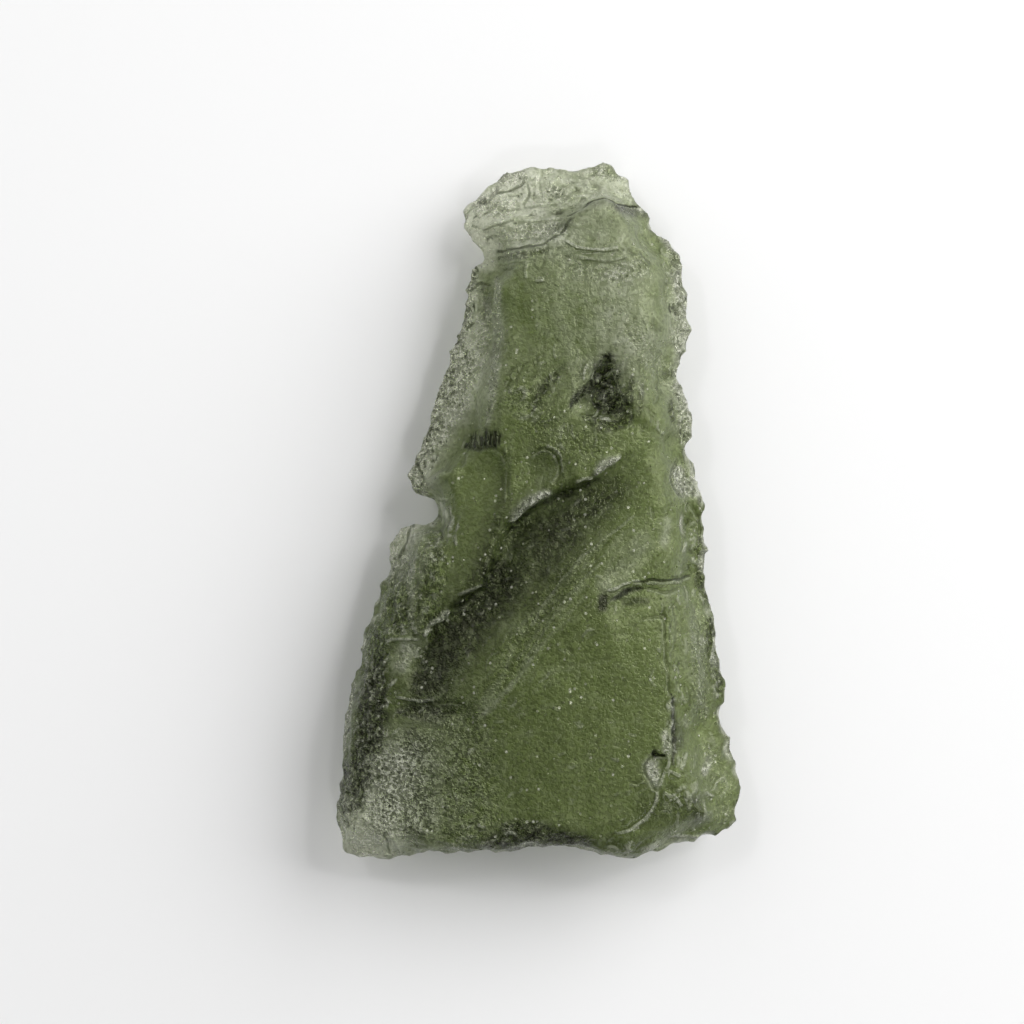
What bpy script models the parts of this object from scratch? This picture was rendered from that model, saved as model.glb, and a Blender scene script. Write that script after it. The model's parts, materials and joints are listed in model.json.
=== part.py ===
"""A raw moldavite: one piece of natural green impact glass, lying on its back.

The stone is a thick wedge-shaped flake. Its broad face looks up (+Z), its thin
pale tip points along +Y, and its broken base is at -Y. The origin is on the
surface that it rests on, under the middle of the stone.

Everything below is worked out in millimetres, and scaled to metres at the end.
"""

import math
import random

import bmesh
import bpy
import numpy as np
from mathutils import Vector, noise

MM = 0.001
NODE = "moldavite"

# The rim, seen from above, clockwise from the notch below the tip
TIP_RIM = [
    (-2.75, 12.65), (-3.00, 13.05), (-3.50, 13.45), (-3.80, 14.00), (-3.90, 14.60),
    (-3.75, 15.10), (-3.35, 15.50), (-2.90, 15.80), (-2.65, 16.20), (-2.25, 16.50),
    (-1.95, 16.55), (-1.80, 16.95), (-1.45, 17.10), (-1.15, 17.00), (-0.85, 16.95),
    (-0.55, 17.20), (0.00, 17.25), (0.45, 17.30), (0.90, 17.40), (1.35, 17.20),
    (1.95, 17.10), (2.25, 17.30), (2.70, 17.35), (3.20, 17.50), (3.65, 17.45),
    (4.00, 17.20), (4.20, 16.90), (4.55, 16.80), (4.70, 16.45), (4.65, 16.15),
    (4.90, 15.85), (5.20, 15.20), (5.60, 14.95), (5.80, 14.50), (5.85, 14.05),
    (6.05, 13.60),
]
RIGHT_RIM = [
    (6.20, 13.70), (6.60, 13.50), (7.05, 13.00), (7.25, 12.35), (7.40, 11.65),
    (7.50, 10.60), (7.60, 9.90), (7.75, 9.10), (7.60, 8.70), (7.60, 8.00),
    (7.35, 7.75), (7.20, 7.10), (7.15, 6.45), (7.45, 6.15), (7.65, 5.50),
    (7.80, 4.60), (7.75, 3.75), (7.50, 3.05), (7.80, 2.80), (8.05, 2.00),
    (8.15, 1.20), (8.40, 0.45), (8.30, -0.45), (8.35, -1.25), (8.55, -2.00),
    (8.45, -2.80), (8.50, -3.70), (8.70, -4.60), (8.85, -5.40), (9.05, -6.60),
    (9.30, -7.70), (9.50, -8.90), (9.40, -9.80), (9.30, -10.60), (9.70, -11.35),
    (9.95, -12.35), (10.15, -13.50), (10.15, -14.10), (10.00, -14.60),
    (10.00, -15.25), (9.85, -15.75), (9.30, -16.15),
]
BASE_RIM = [
    (8.50, -16.45), (7.35, -16.60), (6.30, -16.85), (5.60, -17.10), (4.60, -17.25),
    (3.45, -17.15), (2.70, -16.95), (2.00, -16.80), (1.10, -16.75), (-0.40, -16.75),
    (-1.65, -16.90), (-3.40, -17.00), (-5.40, -17.00), (-6.30, -17.15),
    (-7.80, -17.50), (-9.15, -17.40), (-9.70, -17.10),
]
LEFT_RIM = [
    (-9.95, -16.50), (-10.15, -15.70), (-10.15, -14.60), (-10.05, -13.70),
    (-9.85, -12.75), (-9.85, -11.60), (-9.70, -10.25), (-9.45, -9.00),
    (-9.15, -7.90), (-8.90, -7.40), (-8.85, -6.65), (-8.55, -5.50), (-8.25, -4.60),
    (-7.95, -3.75), (-7.55, -3.05), (-7.55, -2.15), (-7.45, -1.50), (-7.15, -1.00),
    (-6.45, -0.50), (-5.85, -0.55), (-5.20, -0.45), (-5.05, -0.20), (-5.30, 0.25),
    (-5.60, 0.60), (-6.20, 0.70), (-6.55, 1.05), (-6.65, 1.60), (-6.30, 2.20),
    (-6.10, 3.05), (-5.80, 3.95), (-5.55, 4.30), (-5.40, 5.05), (-5.10, 5.95),
    (-4.85, 6.55), (-4.60, 7.50), (-4.25, 8.50), (-3.95, 9.40), (-3.75, 10.60),
    (-3.60, 11.70), (-3.40, 12.15), (-2.95, 12.35),
]
RIM = TIP_RIM + RIGHT_RIM + BASE_RIM + LEFT_RIM
POINTS_PER_SPAN = 4

# How the front falls to the rim, at places round it: the place, the width and
# the rise of the thin lip, the width of the shoulder above it, the rim's height,
# and how far in the back takes to come down from the rim
EDGE_PLACES = [
    ((-3.9, 14.6), 0.7, 0.5, 0.9, 2.1, 4.0),
    ((0.5, 17.3), 0.6, 0.4, 0.9, 2.1, 4.5),
    ((4.7, 16.4), 0.6, 0.4, 0.9, 2.2, 4.0),
    ((7.2, 12.4), 1.2, 0.6, 1.6, 2.7, 5.0),
    ((7.8, 4.6), 1.1, 0.7, 1.5, 2.8, 5.5),
    ((8.4, 0.4), 1.2, 0.6, 1.5, 2.8, 5.5),
    ((9.3, -7.7), 1.0, 0.8, 1.7, 2.7, 5.5),
    ((10.1, -13.5), 2.0, 0.9, 1.7, 2.7, 5.0),
    ((8.6, -16.5), 1.0, 0.9, 1.2, 3.2, 3.5),
    ((5.0, -17.2), 0.3, 0.5, 0.9, 4.3, 2.6),
    ((0.0, -16.8), 0.1, 0.1, 0.7, 4.8, 2.2),
    ((-5.4, -17.0), 0.2, 0.3, 0.8, 4.3, 2.4),
    ((-8.2, -17.5), 0.9, 0.7, 1.6, 2.9, 3.5),
    ((-10.1, -14.6), 0.3, 0.7, 2.6, 2.6, 4.5),
    ((-9.2, -8.0), 0.3, 0.8, 2.6, 2.8, 4.5),
    ((-8.0, -3.8), 0.5, 0.8, 2.2, 2.9, 4.5),
    ((-7.4, -1.5), 1.1, 0.5, 1.6, 2.8, 5.0),
    ((-5.1, -0.3), 0.3, 0.9, 1.4, 2.7, 4.5),
    ((-6.6, 1.5), 1.2, 0.5, 2.0, 2.7, 5.5),
    ((-5.9, 3.6), 2.0, 0.5, 1.8, 2.8, 6.0),
    ((-5.0, 6.3), 2.1, 0.5, 1.4, 2.8, 6.0),
    ((-3.6, 11.5), 1.5, 0.5, 0.8, 2.8, 6.0),
]
RIM_THICKNESS = 0.3
EDGE_WANDER = 0.28
EDGE_SAG = 0.22
SAG_REACH = 2.5

# The front's height over the table
FRONT_HEIGHT = 5.3
BELLY_RISE = 1.7
BELLY_CENTRE = (0.8, -7.0)
BELLY_REACH = (8.0, 11.0)

# The thin tip is parted from the body by a ledge in two treads
TIP_HEIGHT = 3.3
TIP_FALL = 0.16
TREAD_HEIGHT = 4.1
LOW_LEDGE = [
    (-4.4, 12.3), (-2.6, 12.6), (-2.0, 12.7), (-0.9, 12.8), (0.3, 13.2), (1.1, 13.7),
    (1.7, 14.5), (2.6, 15.1), (3.3, 15.4), (4.1, 15.1), (5.2, 15.2), (6.6, 14.8),
]
HIGH_LEDGE = [
    (-4.6, 13.4), (-2.7, 14.0), (-0.9, 14.4), (0.6, 14.45), (1.7, 14.6), (2.6, 15.2),
    (3.3, 15.5), (4.1, 15.2), (5.2, 15.3), (6.6, 14.9),
]
LEDGE_FACE = 0.45

# The long diagonal flute: the crest of its steep wall, from low left to top right
FLUTE_CREST = [
    (-6.9, -9.2), (-6.3, -7.6), (-5.9, -6.4), (-5.4, -5.6), (-4.6, -4.9), (-3.8, -4.1),
    (-2.9, -3.6), (-2.4, -2.5), (-1.7, -0.6), (-0.9, 0.0), (0.6, 1.0), (1.9, 1.4),
    (2.9, 1.9), (4.0, 2.7), (5.4, 3.3),
]
FLUTE_DEPTH = 1.4
FLUTE_WIDTHS = (1.6, 4.6)
FLUTE_WALL = 0.6
CREST_LIP = 0.15

# Fine flutes beside it, along the same way
RIPPLE_PITCH = 1.2
RIPPLE_HEIGHT = 0.07
RIPPLE_BAND = (2.6, 7.5)
RIPPLE_SPAN = (0.25, 1.0)

# Small ledges on the front: the crest, with the low side on its right hand, the drop
# and how far the floor takes to climb back
SMALL_LEDGES = [
    ([(3.2, -4.7), (4.1, -4.0), (4.8, -3.6), (5.4, -3.5), (6.4, -3.4), (7.6, -3.2)], 0.5, 1.3),
    ([(6.2, -4.2), (6.5, -6.5), (6.6, -8.5), (6.7, -10.5), (6.8, -12.8)], -0.4, 3.5),
    ([(-7.4, -6.3), (-6.7, -6.45), (-5.8, -6.4)], 0.4, 0.9),
    ([(-7.0, -9.3), (-5.9, -9.35), (-5.0, -9.35), (-4.0, -9.5), (-3.1, -9.2)], 0.5, 1.1),
    ([(0.9, 12.9), (2.2, 12.5), (3.4, 12.5), (4.6, 12.9)], 0.35, 1.2),
]

# Shell-shaped scoops on the front: centre, radii, depth, turn in degrees
FRONT_SCOOPS = [
    ((-2.9, 1.5), (1.35, 1.9), 0.75, 0),
    ((0.3, 1.4), (1.5, 1.6), 0.55, -10),
    ((2.7, 13.4), (1.6, 0.9), 0.2, 10),
    ((5.1, -2.4), (0.8, 2.3), 0.40, -42),
    ((0.3, 5.9), (0.7, 1.7), 0.30, -30),
    ((-1.5, 8.2), (1.5, 2.3), 0.25, 12),
    ((-6.1, -7.4), (0.7, 1.3), 0.40, -12),
    ((7.3, 0.9), (1.0, 1.3), 0.55, 20),
    ((7.2, 5.0), (0.9, 1.7), 0.50, 8),
    ((-7.0, -1.4), (0.8, 1.0), 0.45, 30),
    ((-5.9, 1.4), (0.8, 1.1), 0.45, -20),
    ((-4.0, 6.8), (0.9, 1.8), 0.40, -14),
    ((5.8, -12.7), (0.45, 0.9), 0.55, -8),
    ((-0.6, 15.9), (1.6, 0.8), 0.25, 8),
    ((2.6, 16.2), (1.5, 0.9), 0.22, -6),
    ((-3.1, 14.8), (0.8, 1.1), 0.30, 30),
]

# The three-cornered pit in the upper half
PIT_CORNERS = [(1.6, 4.7), (4.6, 4.3), (3.3, 7.6)]
PIT_DEPTH = 1.0
PIT_WALL = 0.8
PIT_WARP = 0.35

# The back: a shallow dome with a small flat spot that the stone rests on
BACK_ROUNDING = 1.6
BACK_RISE = 0.75
REST_CENTRE = (0.8, -3.2)
REST_REACH = (4.6, 8.5)
REST_SINK = 0.2
TIP_LIFT = 0.5
TIP_LIFT_FROM = (11.0, 15.5)
FURROWS = 110
FURROW_SEED = 11
FURROW_LENGTHS = (1.0, 3.8)
FURROW_WIDTHS = (0.5, 1.0)
FURROW_DEPTHS = (0.25, 0.6)

# Etched relief over the whole skin
SWELL_SIZE = 4.0
FRONT_SWELL = 0.13
BACK_SWELL = 0.3
PIT_CELL_RIM = 1.15
PIT_CELL_BACK = 2.1
RIM_PITS = 0.16
BACK_PITS = 0.3
PITTED_RIM = 1.6

# Mesh sizes
BLANK_THICKNESS = 3.0
BLANK_VOXEL = 0.24
SKIN_VOXEL = 0.17
MOST_TRIANGLES = 9200
FLAT_SNAP = 0.03


def smoothstep(low, high, value):
    """0 below low, 1 above high, and an S-curve between."""
    t = np.clip((value - low) / (high - low), 0.0, 1.0)
    return t * t * (3.0 - 2.0 * t)


def rounded(points, per_span):
    """A closed Catmull-Rom curve through the points."""
    p1 = np.array(points)
    p0, p2, p3 = np.roll(p1, 1, 0), np.roll(p1, -1, 0), np.roll(p1, -2, 0)
    spans = []
    for step in range(per_span):
        t = step / per_span
        spans.append(
            0.5 * (2 * p1 + (p2 - p0) * t + (2 * p0 - 5 * p1 + 4 * p2 - p3) * t**2
                   + (3 * p1 - p0 - 3 * p2 + p3) * t**3)
        )
    return np.stack(spans, axis=1).reshape(-1, 2)


def nearest_on_line(points, line, closed=False):
    """For each point, its distance to a line of points, the place along it from 0
    to 1, and which side it is on: 1 is the left hand of the line's own way."""
    line = np.array(line)
    starts = line if closed else line[:-1]
    ends = np.roll(line, -1, 0) if closed else line[1:]
    runs = ends - starts
    squares = np.maximum((runs**2).sum(1), 1e-12)
    away = points[:, None, :] - starts[None]
    share = np.clip((away * runs[None]).sum(2) / squares, 0.0, 1.0)
    gap = away - share[:, :, None] * runs[None]
    distance = np.hypot(gap[:, :, 0], gap[:, :, 1])
    span = distance.argmin(1)
    row = np.arange(len(points))
    cross = runs[span, 0] * away[row, span, 1] - runs[span, 1] * away[row, span, 0]
    place = (span + share[row, span]) / len(starts)
    return distance[row, span], place, np.where(cross >= 0.0, 1.0, -1.0)


def in_parts(function, points, size=4000):
    """Runs a function of many points a part at a time, to save memory."""
    parts = [function(points[i:i + size]) for i in range(0, len(points), size)]
    return [np.concatenate(column) for column in zip(*parts)]


def swell(points, size, octaves=3, shift=0.0):
    """Soft cloud noise from about -1 to 1, with lumps of this size."""
    offset = Vector((shift, shift, shift))
    values = [noise.fractal(Vector(p) / size + offset, 1.0, 2.0, octaves) for p in points]
    return np.array(values)


def edge_values(rim, places):
    """The edge's five sizes at each rim point, in the order of EDGE_PLACES."""
    spots = np.array([place[0] for place in places])
    values = np.array([place[1:] for place in places])
    index = [int(np.hypot(*(rim - spot).T).argmin()) for spot in spots]
    order = np.argsort(index)
    knots = np.array(index)[order]
    at = np.arange(len(rim))
    return np.stack(
        [np.interp(at, knots, column[order], period=len(rim)) for column in values.T], axis=1
    )


def tip_ledges(points, height):
    """Lowers the front to the two treads of the tip's ledge."""
    tread, tip = (
        in_parts(lambda part, line=line: nearest_on_line(part, line), points)
        for line in (LOW_LEDGE, HIGH_LEDGE)
    )
    past_low = smoothstep(-0.1, LEDGE_FACE, tread[0] * tread[2])
    past_high = smoothstep(-0.1, LEDGE_FACE, tip[0] * tip[2])
    height = height + (TREAD_HEIGHT - height) * past_low
    tip_height = TIP_HEIGHT - TIP_FALL * (points[:, 1] - HIGH_LEDGE[1][1])
    return height + (tip_height - height) * past_high


def flute(points):
    """How deep the diagonal flute and the ripples beside it lie."""
    distance, _, side = in_parts(lambda part: nearest_on_line(part, FLUTE_CREST), points)
    across = -distance * side
    start, end = np.array(FLUTE_CREST[0]), np.array(FLUTE_CREST[-1])
    chord = end - start
    along = ((points - start) @ chord) / (chord @ chord)
    inside = np.clip((along + 0.06) / 1.12, 0.0, 1.0)
    swelling = np.sin(np.pi * inside) ** 0.8
    width = FLUTE_WIDTHS[0] + (FLUTE_WIDTHS[1] - FLUTE_WIDTHS[0]) * swelling
    wall = smoothstep(-0.1, FLUTE_WALL, across)
    floor = np.clip(1.0 - across / width, 0.0, 1.0) ** 1.3
    lip = CREST_LIP * np.exp(-((across + 0.25) / 0.3) ** 2) * swelling
    ends = smoothstep(-0.05, 0.1, along) * (1.0 - smoothstep(0.9, 1.08, along))
    beside = smoothstep(RIPPLE_BAND[0] - 0.8, RIPPLE_BAND[0] + 0.6, across)
    beside *= 1.0 - smoothstep(RIPPLE_BAND[1] - 2.5, RIPPLE_BAND[1], across)
    beside *= smoothstep(RIPPLE_SPAN[0] - 0.1, RIPPLE_SPAN[0] + 0.1, along)
    beside *= 1.0 - smoothstep(RIPPLE_SPAN[1] - 0.1, RIPPLE_SPAN[1] + 0.1, along)
    ripple = RIPPLE_HEIGHT * np.cos(2 * np.pi * across / RIPPLE_PITCH) * beside
    return FLUTE_DEPTH * swelling * wall * floor * ends - lip * ends + ripple


def small_ledge(points, line, drop, reach):
    """One small ledge: a negative drop lowers the left hand of the line instead."""
    distance, _, side = in_parts(lambda part: nearest_on_line(part, line), points)
    across = -distance * side * math.copysign(1.0, drop)
    start, end = np.array(line[0]), np.array(line[-1])
    chord = end - start
    along = ((points - start) @ chord) / (chord @ chord)
    ends = smoothstep(-0.02, 0.12, along) * (1.0 - smoothstep(0.88, 1.02, along))
    fall = smoothstep(-0.05, 0.3, across) * np.exp(-np.maximum(across, 0.0) / reach)
    return abs(drop) * fall * ends


def scoop(points, centre, radii, depth, turn):
    """A shell-shaped hollow, steep at its far rim and fading towards the near one."""
    angle = math.radians(turn)
    gap = points - np.array(centre)
    u = (gap[:, 0] * math.cos(angle) + gap[:, 1] * math.sin(angle)) / radii[0]
    v = (gap[:, 1] * math.cos(angle) - gap[:, 0] * math.sin(angle)) / radii[1]
    bowl = np.sqrt(np.clip(1.0 - u * u - v * v, 0.0, 1.0))
    return depth * bowl * (0.3 + 0.7 * smoothstep(-1.0, 0.7, v))


def corner_pit(points):
    """The three-cornered pit, from the distance to its nearest side."""
    around = np.column_stack([points, np.zeros(len(points))])
    warp = [swell(around, 1.6, octaves=2, shift=shift) for shift in (41.0, 47.0)]
    points = points + PIT_WARP * np.column_stack(warp)
    corners = [np.array(corner) for corner in PIT_CORNERS]
    inside = np.full(len(points), np.inf)
    for start, end in zip(corners, corners[1:] + corners[:1]):
        run = (end - start) / np.hypot(*(end - start))
        gap = points - start
        inside = np.minimum(inside, run[0] * gap[:, 1] - run[1] * gap[:, 0])
    return PIT_DEPTH * smoothstep(-0.25, PIT_WALL, inside)


def front_height(points):
    """The front's height over the table, before it falls to the rim."""
    reach = (points - np.array(BELLY_CENTRE)) / np.array(BELLY_REACH)
    height = FRONT_HEIGHT + BELLY_RISE * np.exp(-(reach**2).sum(1))
    height -= flute(points) + corner_pit(points)
    for line, drop, fade in SMALL_LEDGES:
        height -= small_ledge(points, line, drop, fade)
    height = tip_ledges(points, height)
    for centre, radii, depth, turn in FRONT_SCOOPS:
        height -= scoop(points, centre, radii, depth, turn)
    return height


def furrows(points):
    """The etched furrows of the back: U-shaped grooves that spread from its middle."""
    chance = random.Random(FURROW_SEED)
    low, high = np.array(RIM).min(0), np.array(RIM).max(0)
    deepest = np.zeros(len(points))
    for _ in range(FURROWS):
        centre = np.array([chance.uniform(low[i], high[i]) for i in (0, 1)])
        way = centre - np.array(REST_CENTRE)
        turn = math.atan2(way[1], way[0]) + chance.uniform(-0.5, 0.5)
        half = chance.uniform(*FURROW_LENGTHS) / 2
        width = chance.uniform(*FURROW_WIDTHS)
        depth = chance.uniform(*FURROW_DEPTHS)
        gap = points - centre
        along = np.abs(gap[:, 0] * math.cos(turn) + gap[:, 1] * math.sin(turn))
        across = np.abs(gap[:, 1] * math.cos(turn) - gap[:, 0] * math.sin(turn))
        past = np.hypot(np.maximum(along - half, 0.0), across) / width
        deepest = np.maximum(deepest, depth * np.clip(1.0 - past**2, 0.0, 1.0))
    return deepest


def blank():
    """A flat plate with the stone's outline, as a mesh object."""
    rim = rounded(RIM, POINTS_PER_SPAN)
    mesh = bmesh.new()
    rings = [
        [mesh.verts.new((x, y, z)) for x, y in rim] for z in (0.0, BLANK_THICKNESS)
    ]
    for i in range(len(rim)):
        j = (i + 1) % len(rim)
        mesh.faces.new((rings[0][i], rings[1][i], rings[1][j], rings[0][j]))
    mesh.faces.new(rings[0])
    mesh.faces.new(rings[1][::-1])
    bmesh.ops.recalc_face_normals(mesh, faces=mesh.faces)
    data = bpy.data.meshes.new(NODE)
    mesh.to_mesh(data)
    mesh.free()
    stone = bpy.data.objects.new(NODE, data)
    bpy.context.scene.collection.objects.link(stone)
    return stone


def settle(stone, kind, **settings):
    """Applies one modifier to the stone's mesh."""
    modifier = stone.modifiers.new(kind.title(), kind)
    for name, value in settings.items():
        setattr(modifier, name, value)
    graph = bpy.context.evaluated_depsgraph_get()
    data = bpy.data.meshes.new_from_object(stone.evaluated_get(graph))
    stone.modifiers.clear()
    old, stone.data = stone.data, data
    bpy.data.meshes.remove(old)
    data.name = NODE


def read_points(stone):
    """The mesh's vertices as an array."""
    values = np.empty(len(stone.data.vertices) * 3, np.float32)
    stone.data.vertices.foreach_get("co", values)
    return values.reshape(-1, 3).astype(float)


def read_normals(stone):
    """The mesh's vertex normals as an array."""
    values = np.empty(len(stone.data.vertices) * 3, np.float32)
    stone.data.vertex_normals.foreach_get("vector", values)
    return values.reshape(-1, 3).astype(float)


def write_points(stone, points):
    """Puts the vertices back."""
    stone.data.vertices.foreach_set("co", points.astype(np.float32).ravel())
    stone.data.update()


def mould(stone):
    """Bends the plate into the stone: domed back, fluted front and thin lips."""
    rim = rounded(RIM, POINTS_PER_SPAN)
    points = read_points(stone)
    flat = points[:, :2]
    inward, place, _ = in_parts(lambda part: nearest_on_line(part, rim, closed=True), flat)
    edge = edge_values(rim, EDGE_PLACES)
    at = (place * len(rim)).astype(int) % len(rim)
    lip, rise, shoulder, rim_height, under = edge[at].T
    ground = points * [1, 1, 0]
    rim_height = rim_height + 0.25 * swell(ground, 3.0, shift=9.0)
    lip = lip * (1.0 + EDGE_WANDER * swell(ground, 2.2, shift=17.0))
    shoulder = shoulder * (1.0 + EDGE_WANDER * swell(ground, 2.8, shift=23.0))

    front = front_height(flat) + FRONT_SWELL * swell(ground, SWELL_SIZE)
    full = np.maximum(front - rim_height, 0.4) * (1.0 - EDGE_SAG * np.exp(-inward / SAG_REACH))
    lip_rise = np.minimum(rise, full * 0.6)
    climb = np.clip((inward - lip) / shoulder, 0.0, 1.0)
    climb = np.sqrt(1.0 - (1.0 - climb) ** 2)
    top = rim_height + RIM_THICKNESS / 2
    top += lip_rise * np.clip(inward / lip, 0.0, 1.0) + (full - lip_rise) * climb

    reach = (flat - np.array(REST_CENTRE)) / np.array(REST_REACH)
    off_rest = 1.0 - np.exp(-(reach**2).sum(1))
    dome = 1.0 - np.clip(1.0 - inward / under, 0.0, 1.0) ** BACK_ROUNDING
    floor = BACK_RISE * off_rest + TIP_LIFT * smoothstep(*TIP_LIFT_FROM, flat[:, 1])
    floor += BACK_SWELL * off_rest * swell(ground, SWELL_SIZE, shift=31.0)
    back = (rim_height - RIM_THICKNESS / 2) * (1.0 - dome) + (floor - REST_SINK) * dome
    back += furrows(flat) * smoothstep(0.2, 1.4, inward) * smoothstep(0.15, 0.4, off_rest)

    share = np.clip(points[:, 2] / BLANK_THICKNESS, 0.0, 1.0)
    points[:, 2] = back + np.maximum(top - back, RIM_THICKNESS) * share
    write_points(stone, points)


def etch(stone):
    """Sinks round pits into the rim and the back, as acid soil does to this glass."""
    rim = rounded(RIM, POINTS_PER_SPAN)
    points, normals = read_points(stone), read_normals(stone)
    inward, _, _ = in_parts(
        lambda part: nearest_on_line(part, rim, closed=True), points[:, :2]
    )
    near_rim = 1.0 - smoothstep(PITTED_RIM * 0.4, PITTED_RIM, inward)
    below = 1.0 - smoothstep(-0.3, 0.2, normals[:, 2])
    cells = {
        size: np.array([noise.voronoi(Vector(p) / size)[0][0] for p in points])
        for size in (PIT_CELL_RIM, PIT_CELL_BACK)
    }
    bowls = {size: np.clip(1.0 - (near / 0.62) ** 2, 0.0, 1.0) for size, near in cells.items()}
    depth = RIM_PITS * near_rim * bowls[PIT_CELL_RIM]
    depth = np.maximum(depth, BACK_PITS * below * (1.0 - near_rim) * bowls[PIT_CELL_BACK])
    points -= normals * depth[:, None]
    points[:, 2] = np.maximum(points[:, 2], 0.0)
    write_points(stone, points)


def finish(stone):
    """Flattens the resting spot, centres the stone over the origin and scales it to metres."""
    points = read_points(stone)
    points[points[:, 2] < FLAT_SNAP, 2] = 0.0
    low, high = points.min(0), points.max(0)
    points[:, :2] -= (low[:2] + high[:2]) / 2
    write_points(stone, points * MM)


def moldavite_glass():
    """Green natural glass: see-through, with a dull etched skin."""
    material = bpy.data.materials.new("moldavite_glass")
    material.use_nodes = True
    shader = material.node_tree.nodes["Principled BSDF"]
    shader.inputs["Base Color"].default_value = (0.17, 0.25, 0.08, 1.0)
    shader.inputs["Roughness"].default_value = 0.35
    shader.inputs["Transmission Weight"].default_value = 0.8
    shader.inputs["IOR"].default_value = 1.49
    return material


def main():
    """Builds the stone in an empty scene."""
    for thing in list(bpy.data.objects):
        bpy.data.objects.remove(thing, do_unlink=True)
    stone = blank()
    settle(stone, "REMESH", mode="VOXEL", voxel_size=BLANK_VOXEL)
    mould(stone)
    settle(stone, "REMESH", mode="VOXEL", voxel_size=SKIN_VOXEL)
    etch(stone)
    settle(stone, "TRIANGULATE")
    share = MOST_TRIANGLES / len(stone.data.polygons)
    settle(stone, "DECIMATE", ratio=share, use_collapse_triangulate=True)
    finish(stone)
    stone.data.materials.append(moldavite_glass())


main()
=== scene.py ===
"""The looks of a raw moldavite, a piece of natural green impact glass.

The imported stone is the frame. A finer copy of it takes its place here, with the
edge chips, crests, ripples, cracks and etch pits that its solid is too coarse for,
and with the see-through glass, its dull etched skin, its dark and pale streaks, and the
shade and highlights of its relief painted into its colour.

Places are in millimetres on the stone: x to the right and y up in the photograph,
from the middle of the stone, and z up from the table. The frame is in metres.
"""

from __future__ import annotations

import json
import logging
import math
import random
from collections.abc import Callable
from dataclasses import dataclass
from enum import Enum
from functools import partial

import bpy
import numpy as np
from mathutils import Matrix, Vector, noise

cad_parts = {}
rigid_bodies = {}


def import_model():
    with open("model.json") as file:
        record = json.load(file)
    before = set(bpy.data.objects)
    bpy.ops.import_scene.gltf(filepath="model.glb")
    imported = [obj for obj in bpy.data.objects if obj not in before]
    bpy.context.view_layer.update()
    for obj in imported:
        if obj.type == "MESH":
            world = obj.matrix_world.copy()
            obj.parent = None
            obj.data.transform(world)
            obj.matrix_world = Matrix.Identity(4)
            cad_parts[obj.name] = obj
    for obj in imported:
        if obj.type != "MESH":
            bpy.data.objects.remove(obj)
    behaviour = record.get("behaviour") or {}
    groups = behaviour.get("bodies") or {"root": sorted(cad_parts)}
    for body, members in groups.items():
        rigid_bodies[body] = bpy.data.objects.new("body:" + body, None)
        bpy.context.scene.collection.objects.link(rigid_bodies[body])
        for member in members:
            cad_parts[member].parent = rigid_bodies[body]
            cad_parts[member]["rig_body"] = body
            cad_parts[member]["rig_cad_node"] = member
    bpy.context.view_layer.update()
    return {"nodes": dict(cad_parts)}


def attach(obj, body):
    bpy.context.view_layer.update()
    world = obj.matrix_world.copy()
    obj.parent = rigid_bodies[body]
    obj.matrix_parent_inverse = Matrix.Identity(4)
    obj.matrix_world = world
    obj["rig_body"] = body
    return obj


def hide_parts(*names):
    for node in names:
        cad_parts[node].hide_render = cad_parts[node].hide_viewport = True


LOG = logging.getLogger("moldavite")
MM = 0.001
CAD_NODE = "moldavite"

Line = list[tuple[float, float]]
Output = bpy.types.Node | bpy.types.NodeSocket
AddNode = Callable[..., bpy.types.Node]

# A mark thinner than this is a line. The mesh keeps how far each point lies from it, up
# to its reach, and the material draws it crisp, with a bank beside it on the side away
# from the key light: painted shade beside a pale line and painted light beside a dark one.
# All of these are in millimetres.
THIN_LINE = 0.125
FINEST_LINE = 0.09
SEAM_REACH = 0.30
SEAM_END = 0.12
BANK_OFFSET = 0.125
TO_KEY_LIGHT = np.array([0.84, 0.54])

# How far a mark reaches, in half-breadths, and how sharp its edge is: a mark more than
# twice this wide is a soft patch. A mark longer than this many half-breadths tapers to
# this share of its breadth at its ends.
MARK_REACH = 3.2
PATCH_WIDTH = 0.4
PATCH_EDGE, MARK_EDGE = 3.4, 5.0
LONG_MARK = 6.0
MARK_END = 0.45

PRODUCT = {"operation": "MULTIPLY", "use_clamp": True}
PRODUCT_PLUS = {"operation": "MULTIPLY_ADD", "use_clamp": True}
LARGER = {"operation": "MAXIMUM", "use_clamp": True}
LESS = {"operation": "SUBTRACT", "use_clamp": True}


def linear(hex_colour: str) -> tuple[float, float, float, float]:
    """Turns an sRGB hex colour to linear light.

    Args:
        hex_colour: six hex digits, as in "6B7550".

    Returns:
        Red, green, blue and an alpha of 1.
    """
    parts = [int(hex_colour[i:i + 2], 16) / 255 for i in (0, 2, 4)]
    red, green, blue = (
        part / 12.92 if part <= 0.04045 else ((part + 0.055) / 1.055) ** 2.4 for part in parts
    )
    return (red, green, blue, 1.0)


def only(piece: bpy.types.Object) -> None:
    """Selects one piece alone and makes it the active one.

    Args:
        piece: the object to select.
    """
    bpy.ops.object.select_all(action="DESELECT")
    piece.select_set(True)
    bpy.context.view_layer.objects.active = piece


def apply_modifier(piece: bpy.types.Object, kind: str, **settings: object) -> None:
    """Adds a modifier to a piece and applies it.

    Args:
        piece: the object to change.
        kind: Blender's name for the modifier.
        **settings: the modifier's own settings.
    """
    only(piece)
    modifier = piece.modifiers.new(kind.title(), kind)
    for name, value in settings.items():
        setattr(modifier, name, value)
    bpy.ops.object.modifier_apply(modifier=modifier.name)


def smoothstep(low: float, high: float, value: np.ndarray) -> np.ndarray:
    """Returns 0 below low, 1 above high, and an S-curve between."""
    t = np.clip((value - low) / (high - low), 0.0, 1.0)
    return t * t * (3.0 - 2.0 * t)


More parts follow.
